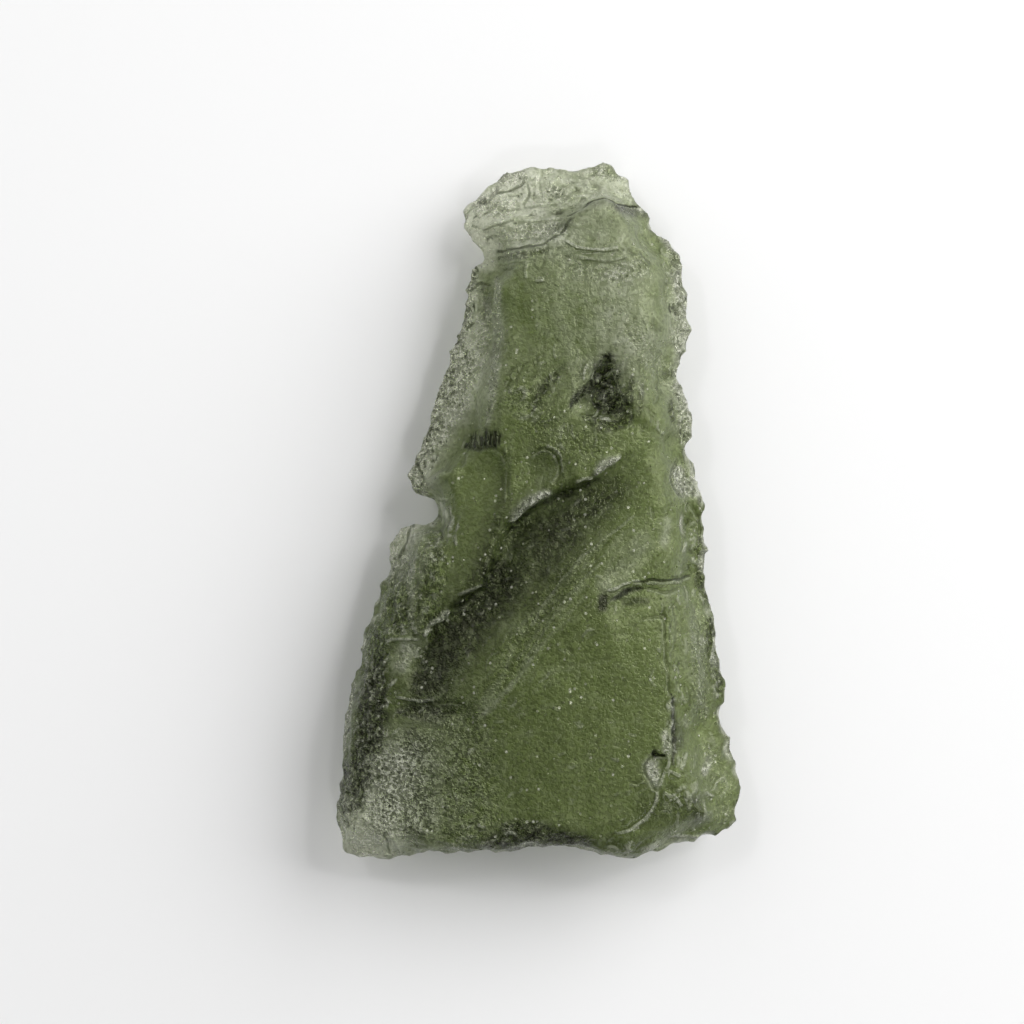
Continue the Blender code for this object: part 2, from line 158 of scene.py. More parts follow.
def curve(points: Line, per_span: int = 5) -> np.ndarray:
    """Runs a smooth open curve through points.

    Args:
        points: the places that the curve passes.
        per_span: the number of short runs from one point to the next.

    Returns:
        The curve's points, one in each row.
    """
    p = np.array([points[0], *points, points[-1]], float)
    spans = []
    for p0, p1, p2, p3 in zip(p, p[1:], p[2:], p[3:]):
        for t in np.arange(per_span) / per_span:
            spans.append(
                0.5 * (2 * p1 + (p2 - p0) * t + (2 * p0 - 5 * p1 + 4 * p2 - p3) * t**2
                       + (3 * p1 - p0 - 3 * p2 + p3) * t**3)
            )
    spans.append(p[-1])
    return np.array(spans)


def cloud(points: np.ndarray, size: float, octaves: int = 3, shift: float = 0.0) -> np.ndarray:
    """Soft cloud noise from about -1 to 1.

    Args:
        points: the places to read it at.
        size: the width of its lumps.
        octaves: how many finer layers it has.
        shift: moves the pattern, so that two uses of it differ.

    Returns:
        One value for each point.
    """
    moved = (points / size + (shift, shift * 0.7, -shift)).tolist()
    return np.array([noise.fractal(place, 1.0, 2.0, octaves) for place in moved])


def dimples(points: np.ndarray, size: float, shift: float = 0.0) -> np.ndarray:
    """Close-packed shallow pits, such as etching leaves.

    Args:
        points: the places to read them at.
        size: the width of a pit.
        shift: moves the pattern.

    Returns:
        One value for each point: 1 in the middle of a pit and 0 on the ridges between pits.
    """
    moved = (points / size + (shift, -shift, shift * 0.6)).tolist()
    nearest = np.array([noise.voronoi(place)[0][0] for place in moved])
    return 1.0 - smoothstep(0.0, 0.75, nearest)


class Side(Enum):
    """Where a mark shows on the stone."""

    FRONT = "on the face that looks up"
    THROUGH = "in the glass, so on the face and on the underside"


@dataclass(frozen=True)
class Mark:
    """One streak, line, spot or ridge, in millimetres.

    The line is its middle and the width is half its breadth. Pale and dark say how much
    it lightens or darkens the glass, lift how far it stands out (or sinks, below zero),
    and grit how rough and grainy it makes the skin. On a raised line the pale is painted
    highlight, and in a sunk line the dark is painted shade. A faint line gives way to others.
    """

    name: str
    line: Line
    width: float
    pale: float = 0.0
    dark: float = 0.0
    lift: float = 0.0
    grit: float = 0.0
    side: Side = Side.FRONT
    faint: bool = False

    def _near(self, flat: np.ndarray, reach: float) -> tuple[np.ndarray, np.ndarray]:
        """Looks for the points that the mark could reach.

        Args:
            flat: the x and y of the points of the skin.
            reach: how far outside the box round its line they may lie.

        Returns:
            The mark's path, and the numbers of the points.
        """
        path = curve(self.line) if len(self.line) > 2 else np.array(self.line, float)
        inside = (flat > path.min(0) - reach) & (flat < path.max(0) + reach)
        return path, np.flatnonzero(inside.all(1))

    def show(self, flat: np.ndarray) -> tuple[np.ndarray, np.ndarray]:
        """Works out where the mark lies.

        Args:
            flat: the x and y of the points of the skin.

        Returns:
            The numbers of the points that it reaches, and its share at each, up to 1.
        """
        half_breadth = max(self.width, FINEST_LINE)
        path, near = self._near(flat, half_breadth * MARK_REACH)
        spot = flat[near]
        runs = np.diff(path, axis=0)
        lengths = np.maximum(np.hypot(*runs.T), 1e-6)
        starts = np.concatenate([[0.0], np.cumsum(lengths)])
        best = np.full(len(near), np.inf)
        along = np.zeros(len(near))
        for start, run, length, done in zip(path, runs, lengths, starts):
            share = np.clip((spot - start) @ run / length**2, 0.0, 1.0)
            gap = np.hypot(*(spot - start - share[:, None] * run).T)
            closer = gap < best
            best = np.where(closer, gap, best)
            along = np.where(closer, done + share * length, along)
        width = np.full(len(near), half_breadth)
        if starts[-1] > LONG_MARK * half_breadth:
            swell = np.clip(np.sin(math.pi * along / starts[-1]), 0.0, 1.0) ** 0.6
            width *= MARK_END + (1.0 - MARK_END) * swell
        edge = PATCH_EDGE if self.width > PATCH_WIDTH else MARK_EDGE
        return near, 1.0 / (1.0 + (best / width) ** edge)

    def seam(self, flat: np.ndarray) -> tuple[np.ndarray, np.ndarray, np.ndarray]:
        """Works out how far points lie from a thin line, so that it can be drawn crisp.

        Args:
            flat: the x and y of the points of the skin.

        Returns:
            The numbers of the points near the line, how far each is from it (above zero on
            the side of the key light), and the line's strength there, which fades at its ends.
        """
        path, near = self._near(flat, SEAM_REACH)
        spot = flat[near]
        best = np.full(len(near), np.inf)
        offset = np.full(len(near), SEAM_REACH)
        beyond = np.zeros(len(near))
        runs = np.diff(path, axis=0)
        for number, (start, run) in enumerate(zip(path, runs)):
            length = max(float(np.hypot(*run)), 1e-6)
            way = run / length
            along = (spot - start) @ way
            side = (spot[:, 1] - start[1]) * way[0] - (spot[:, 0] - start[0]) * way[1]
            gap = np.hypot(along - np.clip(along, 0.0, length), side)
            closer = gap < best
            best = np.where(closer, gap, best)
            offset = np.where(closer, side, offset)
            past = np.maximum(-along if number == 0 else 0.0,
                              along - length if number == len(runs) - 1 else 0.0)
            beyond = np.where(closer, np.maximum(past, 0.0), beyond)
        whole = path[-1] - path[0]
        if whole[0] * TO_KEY_LIGHT[1] - whole[1] * TO_KEY_LIGHT[0] < 0.0:
            offset = -offset
        strength = smoothstep(SEAM_REACH, SEAM_REACH * 0.55, best)
        return near, offset, strength * smoothstep(SEAM_END, 0.0, beyond)


@dataclass(frozen=True)
class Streaks:
    """A patch of fine parallel streaks, such as flowing melt leaves, in millimetres.

    The line runs along the middle of the patch and the angle is the way the streaks run,
    in degrees from the x axis.
    """

    name: str
    line: Line
    width: float
    angle: float
    amount: float
    pitch: float = 0.30
    stretch: float = 9.0

    def show(self, points: np.ndarray) -> tuple[np.ndarray, np.ndarray]:
        """Works out the streaks.

        Args:
            points: the points of the skin.

        Returns:
            The numbers of the points in the patch, and the streaks there, from -1 to 1.
        """
        near, share = Mark(self.name, self.line, self.width).show(points[:, :2])
        turn = math.radians(self.angle)
        along = points[near, 0] * math.cos(turn) + points[near, 1] * math.sin(turn)
        across = points[near, 1] * math.cos(turn) - points[near, 0] * math.sin(turn)
        bend = cloud(points[near], 4.0, 1, 3.0) * 0.8
        place = np.stack([along / self.stretch, across + bend, points[near, 2] * 0.3], axis=1)
        return near, cloud(place, self.pitch, 2, self.angle) * share


@dataclass(frozen=True)
class Scratches:
    """A scatter of short ridges and grooves, such as etching leaves, in millimetres.

    The line runs along the middle of the patch, reach is how far they stray from it, the
    angle is the way most of them run, in degrees from the x axis, and turning is how far
    the others turn from it.
    """

    name: str
    line: Line
    reach: float
    count: int
    angle: float
    strength: float = 0.7
    length: tuple[float, float] = (0.25, 0.9)
    turning: float = 24.0
    half_breadth: tuple[float, float] = (0.04, 0.09)
    grooved_share: float = 0.55

    def marks(self) -> list[Mark]:
        """Draws the scratches by lot, the same ones each time.

        Returns:
            The patch's ridges and grooves.
        """
        dice = random.Random(self.name)
        path = curve(self.line, 12)
        made = []
        for number in range(self.count):
            middle = path[dice.randrange(len(path))] + [dice.gauss(0, self.reach) for _ in "xy"]
            turn = math.radians(self.angle + dice.gauss(0, self.turning))
            way = np.array([math.cos(turn), math.sin(turn)]) * dice.uniform(*self.length) / 2
            bow = np.array([-way[1], way[0]]) * dice.uniform(-0.5, 0.5)
            line = [tuple(middle - way), tuple(middle + bow), tuple(middle + way)]
            power = self.strength * dice.uniform(0.4, 1.0)
            width = dice.uniform(*self.half_breadth)
            # A groove is painted dark as the shade in it, and a ridge pale as a highlight on it.
            if dice.random() < self.grooved_share:
                look = {"dark": power, "lift": -0.05 * power}
            else:
                look = {"pale": power, "lift": 0.06 * power}
            made.append(Mark(f"{self.name} {number}", line, width, faint=True, **look))
        return made


@dataclass
class Skin:
    """What the marks do at each point of the skin."""

    dark: np.ndarray
    pale: np.ndarray
    grit: np.ndarray
    lift: np.ndarray
    seam_dark: np.ndarray
    seam_pale: np.ndarray
    seam: np.ndarray
    named: np.ndarray

    @classmethod
    def bare(cls, count: int) -> Skin:
        """Returns an unmarked skin of this many points."""
        return cls(*(np.zeros(count) for _ in range(6)), np.full(count, SEAM_REACH),
                   np.zeros(count, bool))

    def add(self, mark: Mark, flat: np.ndarray, front: np.ndarray) -> None:
        """Lays one mark over the rest.

        Args:
            mark: the mark.
            flat: the x and y of the points.
            front: 1 for a point that looks up, and 0 for one that looks down.
        """
        near, share = mark.show(flat)
        if mark.side is Side.FRONT:
            share = share * front[near]
        if mark.width < THIN_LINE:
            self.lift[near] += mark.lift * share * front[near]
            self._add_seam(mark, flat, front)
            return
        darker, paler = mark.dark * share, mark.pale * share
        self.dark[near] = 1.0 - (1.0 - self.dark[near] * (1.0 - 0.7 * paler)) * (1.0 - darker)
        self.pale[near] = 1.0 - (1.0 - self.pale[near] * (1.0 - 0.7 * darker)) * (1.0 - paler)
        self.grit[near] = np.maximum(self.grit[near], mark.grit * share)
        self.lift[near] += mark.lift * share * front[near]

    def _add_seam(self, mark: Mark, flat: np.ndarray, front: np.ndarray) -> None:
        """Notes a thin line where no other thin line is nearer.

        Args:
            mark: the line.
            flat: the x and y of the points.
            front: 1 for a point that looks up, and 0 for one that looks down.
        """
        near, offset, strength = mark.seam(flat)
        nearer = (np.abs(offset) < np.abs(self.seam[near])) & ~(self.named[near] & mark.faint)
        near, offset = near[nearer], offset[nearer]
        strength = strength[nearer] * front[near]
        self.seam[near] = offset
        self.seam_dark[near] = mark.dark * strength
        self.seam_pale[near] = mark.pale * strength
        self.named[near] |= (strength > 0.3) & (not mark.faint)


def add_node(
    tree: bpy.types.NodeTree, kind: str, settings: dict | None = None, **inputs: object
) -> bpy.types.Node:
    """Adds a shader node, sets it and links it.

    Args:
        tree: the material's node tree.
        kind: the node's type, without "ShaderNode".
        settings: the node's own properties.
        **inputs: a value for each input, or what is linked to it, which is an output or
            a node, for its first output. An input is named in words with underscores, or
            by its number after an "i".

    Returns:
        The new node.
    """
    node = tree.nodes.new("ShaderNode" + kind)
    for name, value in (settings or {}).items():
        setattr(node, name, value)
    for name, value in inputs.items():
        key = int(name[1:]) if name[1:].isdigit() else name.replace("_", " ")
        source = value.outputs[0] if isinstance(value, bpy.types.Node) else value
        if isinstance(source, bpy.types.NodeSocket):
            tree.links.new(source, node.inputs[key])
        else:
            node.inputs[key].default_value = source
    return node


@dataclass(frozen=True)
class Pattern:
    """What the glass's pattern is made of, each from about 0 to 1 over the skin.

    Grit says how grainy the skin is, and lean the way that each small facet tilts. Glints
    are white specks painted on some facets as painted glints, and pits are small dark spots
    painted as the shade of etch pits.
    """

    grain: Output
    grit: Output
    grooves: Output
    ridges: Output
    facets: Output
    lean: Output
    pits: Output
    glints: Output


@dataclass(frozen=True)
class ImpactGlass:
    """Moldavite: a natural silica glass, melted by an impact and etched by acid soil."""

    # The etching gives the skin a dull, grainy sheen that sparkles here and there, where
    # small facets catch the lamps and where white glints are painted in. Under it the glass
    # is see-through, deep green where it is thick and pale where it is thin.
    name: str = "moldavite natural glass"
    ior: float = 1.49
    transmission: float = 0.68
    skin: str = "9AAC68"
    # The dark serves the flow streaks and the painted shade; the pale serves the frost and the
    # painted highlights and glints.
    dark: str = "141B07"
    pale: str = "F8FAE8"
    absorbed: str = "BECB94"
    sheen: str = "CDD3AA"
    density_per_mm: float = 0.175
    roughness: tuple[float, float] = (0.36, 0.24)
    facet_gloss: float = 0.14
    relief_mm: float = 0.09
    # Real etch grain is a few hundredths of a millimetre wide, too fine to show from
    # here, so the grain and the facets are drawn about four times as coarse.
    grain_mm: float = 0.17
    speck_mm: float = 0.26
    # How far a thin line and its bank of painted light or shade reach to each side: their
    # full part and their end.
    line_mm: tuple[float, float] = (0.045, 0.095)
    bank_mm: tuple[float, float] = (0.020, 0.070)
    # How strong the painted light on the bank of a dark line and the painted shade on the bank of a
    # pale line are.
    lit_bank: float = 0.5
    shaded_bank: float = 0.65

    def build(self) -> bpy.types.Material:
        """Makes the material.

        Returns:
            The finished material.
        """
        material = bpy.data.materials.new(self.name)
        material.use_nodes = True
        tree = material.node_tree
        add = partial(add_node, tree)
        shader = tree.nodes["Principled BSDF"]
        shader.inputs["IOR"].default_value = self.ior
        shader.inputs["Transmission Weight"].default_value = self.transmission
        shader.inputs["Specular Tint"].default_value = linear(self.sheen)
        pattern = self._pattern(add)
        colour = self._colour(add, pattern)
        tree.links.new(colour.outputs[2], shader.inputs["Base Color"])
        tree.links.new(self._normal(add, pattern).outputs[0], shader.inputs["Normal"])
        low, high = self.roughness
        rough = add("MapRange", Value=pattern.grain, To_Min=low, To_Max=high)
        sheen = add("Math", {"operation": "MULTIPLY_ADD"}, i0=pattern.facets,
                    i1=-self.facet_gloss, i2=rough)
        tree.links.new(sheen.outputs[0], shader.inputs["Roughness"])
        inside = add("VolumeAbsorption", Color=linear(self.absorbed),
                     Density=self.density_per_mm / MM)
        tree.links.new(inside.outputs[0], tree.nodes["Material Output"].inputs["Volume"])
        return material

    def _pattern(self, add: AddNode) -> Pattern:
        """Makes the grain, the thin lines, and the pinpoint facets, painted glints and painted pit
        shade.

        Args:
            add: adds a node to the material.

        Returns:
            The pattern.
        """
        place = add("TexCoord").outputs["Object"]
        grit = add("Attribute", {"attribute_name": "grit"}).outputs["Fac"]
        swing = add("MapRange", Value=grit, From_Min=0.15, From_Max=1.7, To_Min=0.24, To_Max=1.25)
        # The noise keeps near its middle, so a narrow band of it is stretched to the grain.
        waves = add("TexNoise", Vector=place, Scale=1 / (self.grain_mm * MM), Detail=1.0,
                    Roughness=0.6)
        full = add("MapRange", Value=waves, From_Min=0.415, From_Max=0.585, To_Min=-0.5,
                   To_Max=0.5)
        grain = add("Math", {"operation": "MULTIPLY_ADD"}, i0=full, i1=swing, i2=0.5)
        grooves, ridges = self._lines(add, full)
        # Each cell holds one round spot. Its random colour says whether that is a facet, a
        # pit painted dark as its shade or neither, how white a facet's painted glint is, and
        # which way it leans.
        cells = add("TexVoronoi", {"feature": "F1"}, Vector=place,
                    Scale=1 / (self.speck_mm * MM))
        spots = add("MapRange", Value=cells, From_Min=0.22, From_Max=0.34, To_Min=1.0, To_Max=0.0)
        lean = add("VectorMath", {"operation": "SUBTRACT"}, i0=cells.outputs["Color"],
                   i1=(0.5, 0.5, 0.5))
        draw = add("SeparateColor", i0=cells.outputs["Color"]).outputs
        lit = add("MapRange", Value=draw[2], From_Min=0.72, From_Max=0.80)
        sunk = add("MapRange", Value=draw[2], From_Min=0.30, From_Max=0.36, To_Min=1.0, To_Max=0.0)
        white = add("MapRange", Value=draw[0], From_Min=0.55, From_Max=0.90, To_Min=0.1)
        facets = add("Math", PRODUCT, i0=spots, i1=lit)
        pits = add("Math", PRODUCT, i0=spots, i1=sunk)
        glints = add("Math", PRODUCT, i0=facets, i1=white)
        return Pattern(grain, grit, grooves, ridges, facets, lean, pits, glints)

    def _lines(self, add: AddNode, grain: Output) -> tuple[Output, Output]:
        """Draws the thin grooves and ridges, each with a bank of painted light or shade beside it.

        Args:
            add: adds a node to the material.
            grain: the fine grain of the skin, which breaks the ridges up.

        Returns:
            How dark and how pale the thin lines make the skin: the painted shade of the grooves
            and of the banks beside pale lines, and the painted highlights of the ridges and of the
            banks beside dark lines.
        """
        offset, dark, pale = (
            add("Attribute", {"attribute_name": name}).outputs["Fac"]
            for name in ("seam", "seam_dark", "seam_pale")
        )
        size = add("Math", {"operation": "ABSOLUTE"}, i0=offset)
        shifted = add("Math", {"operation": "ADD"}, i0=offset, i1=BANK_OFFSET)
        beyond = add("Math", {"operation": "ABSOLUTE"}, i0=shifted)
        middle, beside = (
            add("MapRange", Value=gap, From_Min=full, From_Max=end, To_Min=1.0, To_Max=0.0)
            for gap, (full, end) in ((size, self.line_mm), (beyond, self.bank_mm))
        )
        lit_bank = add("Math", PRODUCT, i0=beside, i1=self.lit_bank)
        shaded_bank = add("Math", PRODUCT, i0=beside, i1=self.shaded_bank)
        # A dark line is painted shade in its crease and a pale line a painted highlight on its
        # crest. Each paints the other kind of light or shade on its bank.
        groove = add("Math", PRODUCT, i0=dark, i1=middle)
        ridge = add("Math", PRODUCT, i0=pale, i1=middle)
        grooves = add("Math", PRODUCT_PLUS, i0=pale, i1=shaded_bank, i2=groove)
        ridges = add("Math", PRODUCT_PLUS, i0=dark, i1=lit_bank, i2=ridge)
        worn = add("MapRange", Value=grain, From_Min=-0.4, From_Max=0.2, To_Min=0.5)
        return grooves, add("Math", PRODUCT, i0=ridges, i1=worn)

    def _colour(self, add: AddNode, pattern: Pattern) -> bpy.types.Node:
        """Lays the dark flow streaks and the pale etched places into the glass, with painted shade
        in the thin grooves, pits and low parts of the grain, and painted highlights on the crests.

        Args:
            add: adds a node to the material.
            pattern: the pattern of the skin.

        Returns:
            The node that gives the colour.
        """
        grain, grit = pattern.grain, pattern.grit
        dark, pale = (
            add("Attribute", {"attribute_name": name}).outputs["Fac"] for name in ("dark", "pale")
        )
        # Dark stays in the low parts of the grain, and frost and the painted highlights of wide
        # crests on the high ones.
        sunk = add("MapRange", Value=grain, To_Min=1.2, To_Max=0.85)
        raised = add("MapRange", Value=grain, To_Min=0.35, To_Max=1.7)
        # Painted shade of the pits, deeper where the skin is gritty.
        hole_depth = add("MapRange", Value=grit, To_Min=0.25, To_Max=0.8)
        hole = add("Math", PRODUCT, i0=pattern.pits, i1=hole_depth)
        # Painted shade: the pits and the thin dark lines, with the painted shade on the banks of
        # pale lines.
        groove = add("Math", LARGER, i0=hole, i1=pattern.grooves)
        # The dark marks: flow streaks, with the painted shade of creases, hollows, ledges and the
        # stone's steep edge.
        streak = add("Math", PRODUCT, i0=dark, i1=sunk)
        darker = add("Math", LARGER, i0=streak, i1=groove)
        frost = add("Math", PRODUCT, i0=pale, i1=raised)
        frost = add("Math", PRODUCT, i0=frost, i1=add("Math", LESS, i0=1.0, i1=groove))
        # Painted highlights: the thin pale lines and the painted light on the banks of dark lines.
        frost = add("Math", LARGER, i0=frost, i1=pattern.ridges)
        # Painted glints: white specks laid into the colour on some facets, brighter where the skin
        # is gritty.
        brightness = add("MapRange", Value=grit, To_Min=0.6)
        glint = add("Math", PRODUCT, i0=pattern.glints, i1=brightness)
        paler = add("Math", LARGER, i0=frost, i1=glint)
        body = add("Mix", {"data_type": "RGBA"}, Factor=darker, i6=linear(self.skin),
                   i7=linear(self.dark))
        # Painted shade: the low parts of the grain are darkened, more where the skin is gritty.
        depth = add("MapRange", Value=grit, To_Min=0.50, To_Max=0.90)
        hollow = add("Math", PRODUCT, i0=add("Math", LESS, i0=1.0, i1=grain), i1=depth)
        kept = add("Math", LESS, i0=1.0, i1=hollow)
        grained = add("VectorMath", {"operation": "SCALE"}, i0=body.outputs[2], Scale=kept)
        return add("Mix", {"data_type": "RGBA"}, Factor=paler, i6=grained, i7=linear(self.pale))

    def _normal(self, add: AddNode, pattern: Pattern) -> bpy.types.Node:
        """Gives the skin its etched grain, and tilts its small facets.

        Args:
            add: adds a node to the material.
            pattern: the pattern of the skin.

        Returns:
            The node that gives the normal.
        """
        strength = add("MapRange", Value=pattern.grit, To_Min=0.4)
        step = add("Math", {"operation": "SUBTRACT"}, i0=pattern.ridges, i1=pattern.grooves)
        height = add("Math", {"operation": "ADD"}, i0=pattern.grain, i1=step)
        fine = add("Bump", Height=height, Strength=strength, Distance=self.relief_mm * MM)
        push = add("VectorMath", {"operation": "SCALE"}, i0=pattern.lean, Scale=pattern.facets)
        leaning = add("VectorMath", {"operation": "ADD"}, i0=fine, i1=push)
        return add("VectorMath", {"operation": "NORMALIZE"}, i0=leaning)


@dataclass(frozen=True)
class Chips:
    """The small shell-shaped chips along the stone's thin edge, in millimetres."""

    spacing: float = 0.7
    radius: tuple[float, float] = (0.30, 0.75)
    depth: float = 0.22
    outward: tuple[float, float] = (0.05, 0.25)
    upward: tuple[float, float] = (-0.2, 0.5)
    rim: float = 0.07
    highest: float = 15.2
    seed: int = 4

    def cut(self, points: np.ndarray, normals: np.ndarray, skin: Skin) -> np.ndarray:
        """Bites the chips out of the edge.

        Args:
            points: the points of the skin.
            normals: their normals.
            skin: the marks, which get the chips' pale hollows and dark rims.

        Returns:
            The changed points.
        """
        dice = random.Random(self.seed)
        edge = np.flatnonzero((np.abs(normals[:, 2]) < 0.12) & (points[:, 1] < self.highest))
        centres: list[np.ndarray] = []
        for number in dice.sample(edge.tolist(), len(edge)):
            place = points[number]
            if all(math.dist(place[:2], other[:2]) > self.spacing for other in centres):
                outward = normals[number] * (1, 1, 0)
                tall = Vector((0, 0, dice.uniform(*self.upward)))
                centres.append(place + outward * dice.uniform(*self.outward) + np.array(tall))
        moved = points.copy()
        for centre in centres:
            radius = dice.uniform(*self.radius)
            gap = moved - centre
            distance = np.linalg.norm(gap, axis=1)
            inside = smoothstep(radius, radius * 0.4, distance)
            moved -= normals * (inside * self.depth * radius)[:, None]
            rim = np.exp(-(((distance - radius * 0.95) / self.rim) ** 2))
            skin.dark = np.maximum(skin.dark, rim * 0.5)
            skin.pale = np.maximum(skin.pale, inside * 0.5)
            skin.grit = np.maximum(skin.grit, inside * 0.6)
        return moved


@dataclass(frozen=True)
class Stone:
    """The raw moldavite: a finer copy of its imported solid, carved and etched.

    The voxel, the wander of drawn lines and all heights are in millimetres.
    """

    name: str = "moldavite_stone"
    skin_voxel: float = 0.13
    facet_smoothing: int = 5
    kept_share: float = 0.60
    wander: float = 0.10
    # How dark the painted shade on the stone's steep edge is.
    painted_edge_shade: float = 0.6
    least_grit: float = 0.34
    underside_grit: float = 0.4
    # How wide the lumps of each cloud and the etch pits are.
    soft_mm: float = 1.7
    fine_mm: float = 0.45
    mottle_mm: float = 0.30
    pit_mm: float = 0.42
    underside_pit_mm: float = 1.1
    # How far each of them raises or sinks the skin.
    fine_lift: float = 0.05
    soft_lift: float = 0.03
    flow_lift: float = 0.06
    pit_depth: float = 0.05
    underside_pit_depth: float = 0.10
    # Above 1, these strengthen the faint parts of the dark and the pale marks.
    dark_power: float = 1.05
    pale_power: float = 1.6
    chips: Chips = Chips()

    def build(
        self, solid: bpy.types.Object, glass: ImpactGlass, marks: list[Mark],
        streaks: list[Streaks],
    ) -> bpy.types.Object:
        """Models the stone and dresses it.

        Args:
            solid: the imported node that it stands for.
            glass: its finish.
            marks: the streaks, lines and ridges of its skin.
            streaks: its patches of fine flow streaks.

        Returns:
            The finished piece.
        """
        stone = self._copy(solid)
        apply_modifier(stone, "REMESH", mode="VOXEL", voxel_size=self.skin_voxel)
        apply_modifier(stone, "SMOOTH", factor=0.5, iterations=self.facet_smoothing)
        self._coarsen_underside(stone)
        self._etch(stone, marks, streaks)
        self._to_metres(stone)
        stone.data.materials.clear()
        stone.data.materials.append(glass.build())
        return stone

    def _copy(self, solid: bpy.types.Object) -> bpy.types.Object:
        """Copies the solid, at one Blender unit to the millimetre.

        Args:
            solid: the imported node.

        Returns:
            The copy, a closed mesh without double points.
        """
        only(solid)
        bpy.ops.object.duplicate()
        stone = bpy.context.active_object
        stone.name = stone.data.name = self.name
        bpy.ops.object.parent_clear(type="CLEAR_KEEP_TRANSFORM")
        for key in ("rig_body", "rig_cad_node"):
            if key in stone:
                del stone[key]
        bpy.ops.object.mode_set(mode="EDIT")
        bpy.ops.mesh.select_all(action="SELECT")
        bpy.ops.mesh.remove_doubles(threshold=0.002 * MM)
        bpy.ops.object.mode_set(mode="OBJECT")
        stone.scale = (1 / MM,) * 3
        bpy.ops.object.transform_apply(location=False, rotation=False, scale=True)
        return stone

    def _coarsen_underside(self, stone: bpy.types.Object) -> None:
        """Spends fewer faces on the underside than on the marked face.

        Args:
            stone: the mesh to change.
        """
        _, normals = self._read(stone)
        below = np.flatnonzero(normals[:, 2] < -0.3).tolist()
        group = stone.vertex_groups.new(name="underside")
        group.add(below, 1.0, "REPLACE")
        apply_modifier(stone, "DECIMATE", ratio=self.kept_share, vertex_group=group.name,
                       vertex_group_factor=10.0)
        stone.vertex_groups.clear()

    def _to_metres(self, stone: bpy.types.Object) -> None:
        """Brings the finished mesh back to metres, at the frame's own place.

        Args:
            stone: the mesh to change.
        """
        only(stone)
        stone.scale = (MM,) * 3
        bpy.ops.object.transform_apply(location=False, rotation=False, scale=True)
        bpy.ops.object.shade_smooth()

    def _read(self, stone: bpy.types.Object) -> tuple[np.ndarray, np.ndarray]:
        """Reads a mesh.

        Args:
            stone: the mesh to read.

        Returns:
            Its points and its normals, one in each row.
        """
        count = len(stone.data.vertices)
        points, normals = np.empty(count * 3, np.float32), np.empty(count * 3, np.float32)
        stone.data.vertices.foreach_get("co", points)
        stone.data.vertex_normals.foreach_get("vector", normals)
        return points.reshape(-1, 3).astype(float), normals.reshape(-1, 3).astype(float)

    def _etch(
        self, stone: bpy.types.Object, marks: list[Mark], streaks: list[Streaks]
    ) -> None:
        """Carves the skin and stores how dark, pale and grainy it is at each point.

        Args:
            stone: the refined copy of the solid, in millimetres.
            marks: what is drawn on it.
            streaks: the patches of flow streaks.
        """
        points, normals = self._read(stone)
        front = smoothstep(-0.25, 0.10, normals[:, 2])
        flat = points[:, :2] + self._wandering(points)
        skin = Skin.bare(len(points))
        for mark in marks:
            skin.add(mark, flat, front)
        points = self.chips.cut(points, normals, skin)
        # Painted shade: the steep edge, seen from above, is darkened, less where it is pale.
        outline = smoothstep(0.32, 0.05, normals[:, 2]) * smoothstep(-0.3, 0.0, normals[:, 2])
        edge_shade = self.painted_edge_shade * outline * (1.0 - 0.6 * skin.pale)
        skin.dark = np.maximum(skin.dark, edge_shade)
        soft = cloud(points, self.soft_mm, 3, 5.0)
        fine = cloud(points, self.fine_mm, 3, 11.0)
        mottle = cloud(points, self.mottle_mm, 2, 19.0)
        rough = np.maximum(skin.grit, self.least_grit + self.underside_grit * (1.0 - front))
        flow = np.zeros(len(points))
        for patch in streaks:
            near, lines = patch.show(points)
            flow[near] += patch.amount * lines
        raised = skin.lift + self.fine_lift * rough * fine + self.soft_lift * soft
        raised += self.flow_lift * flow
        raised -= self.pit_depth * rough * dimples(points, self.pit_mm, 3.0)
        under = dimples(points, self.underside_pit_mm, 8.0)
        raised -= self.underside_pit_depth * (1.0 - front) * under
        points += normals * raised[:, None]
        stone.data.vertices.foreach_set("co", points.astype(np.float32).ravel())
        stone.data.update()
        skin.dark = 1.0 - (1.0 - skin.dark) ** self.dark_power
        skin.pale = 1.0 - (1.0 - skin.pale) ** self.pale_power
        # The clouds break the marks up, and the streaks and spots run through them.
        spots = rough * mottle
        dark = skin.dark * (1.0 + 0.30 * fine) - 0.07 * soft - 0.35 * flow - 0.35 * spots
        pale = skin.pale * (1.0 + 0.55 * fine + 0.25 * soft) + 0.25 * flow + 0.20 * spots
        dark, pale = np.clip(dark, 0.0, 1.0), np.clip(pale, 0.0, 1.0)
        # The dark holds the flow streaks and the painted shade of creases, hollows and the steep
        # edge; the pale holds the frost and the painted highlights of wide crests.
        stored = {
            "dark": dark, "pale": pale, "grit": rough, "seam": skin.seam,
            "seam_dark": skin.seam_dark, "seam_pale": skin.seam_pale,
        }
        for name, values in stored.items():
            layer = stone.data.attributes.new(name, "FLOAT", "POINT")
            layer.data.foreach_set("value", values.astype(np.float32))

    def _wandering(self, points: np.ndarray) -> np.ndarray:
        """Returns soft pushes that make drawn lines wander as natural ones do."""
        pushes = [cloud(points, 0.9, 2, shift) * self.wander for shift in (2.0, 7.0)]
        return np.stack(pushes, axis=1)


@dataclass(frozen=True)
class Lamp:
    """A round soft box that shines on the stone, in millimetres and watts."""

    name: str
    place: tuple[float, float, float]
    size: float
    watts: float

    def build(self) -> None:
        """Adds the soft box, turned to the stone."""
        bpy.ops.object.light_add(type="AREA", location=Vector(self.place) * MM)
        lamp = bpy.context.active_object
        lamp.name = lamp.data.name = self.name
        lamp.rotation_euler = (-Vector(self.place)).to_track_quat("-Z", "Y").to_euler()
        lamp.data.shape = "DISK"
        lamp.data.size = self.size * MM
        lamp.data.energy = self.watts


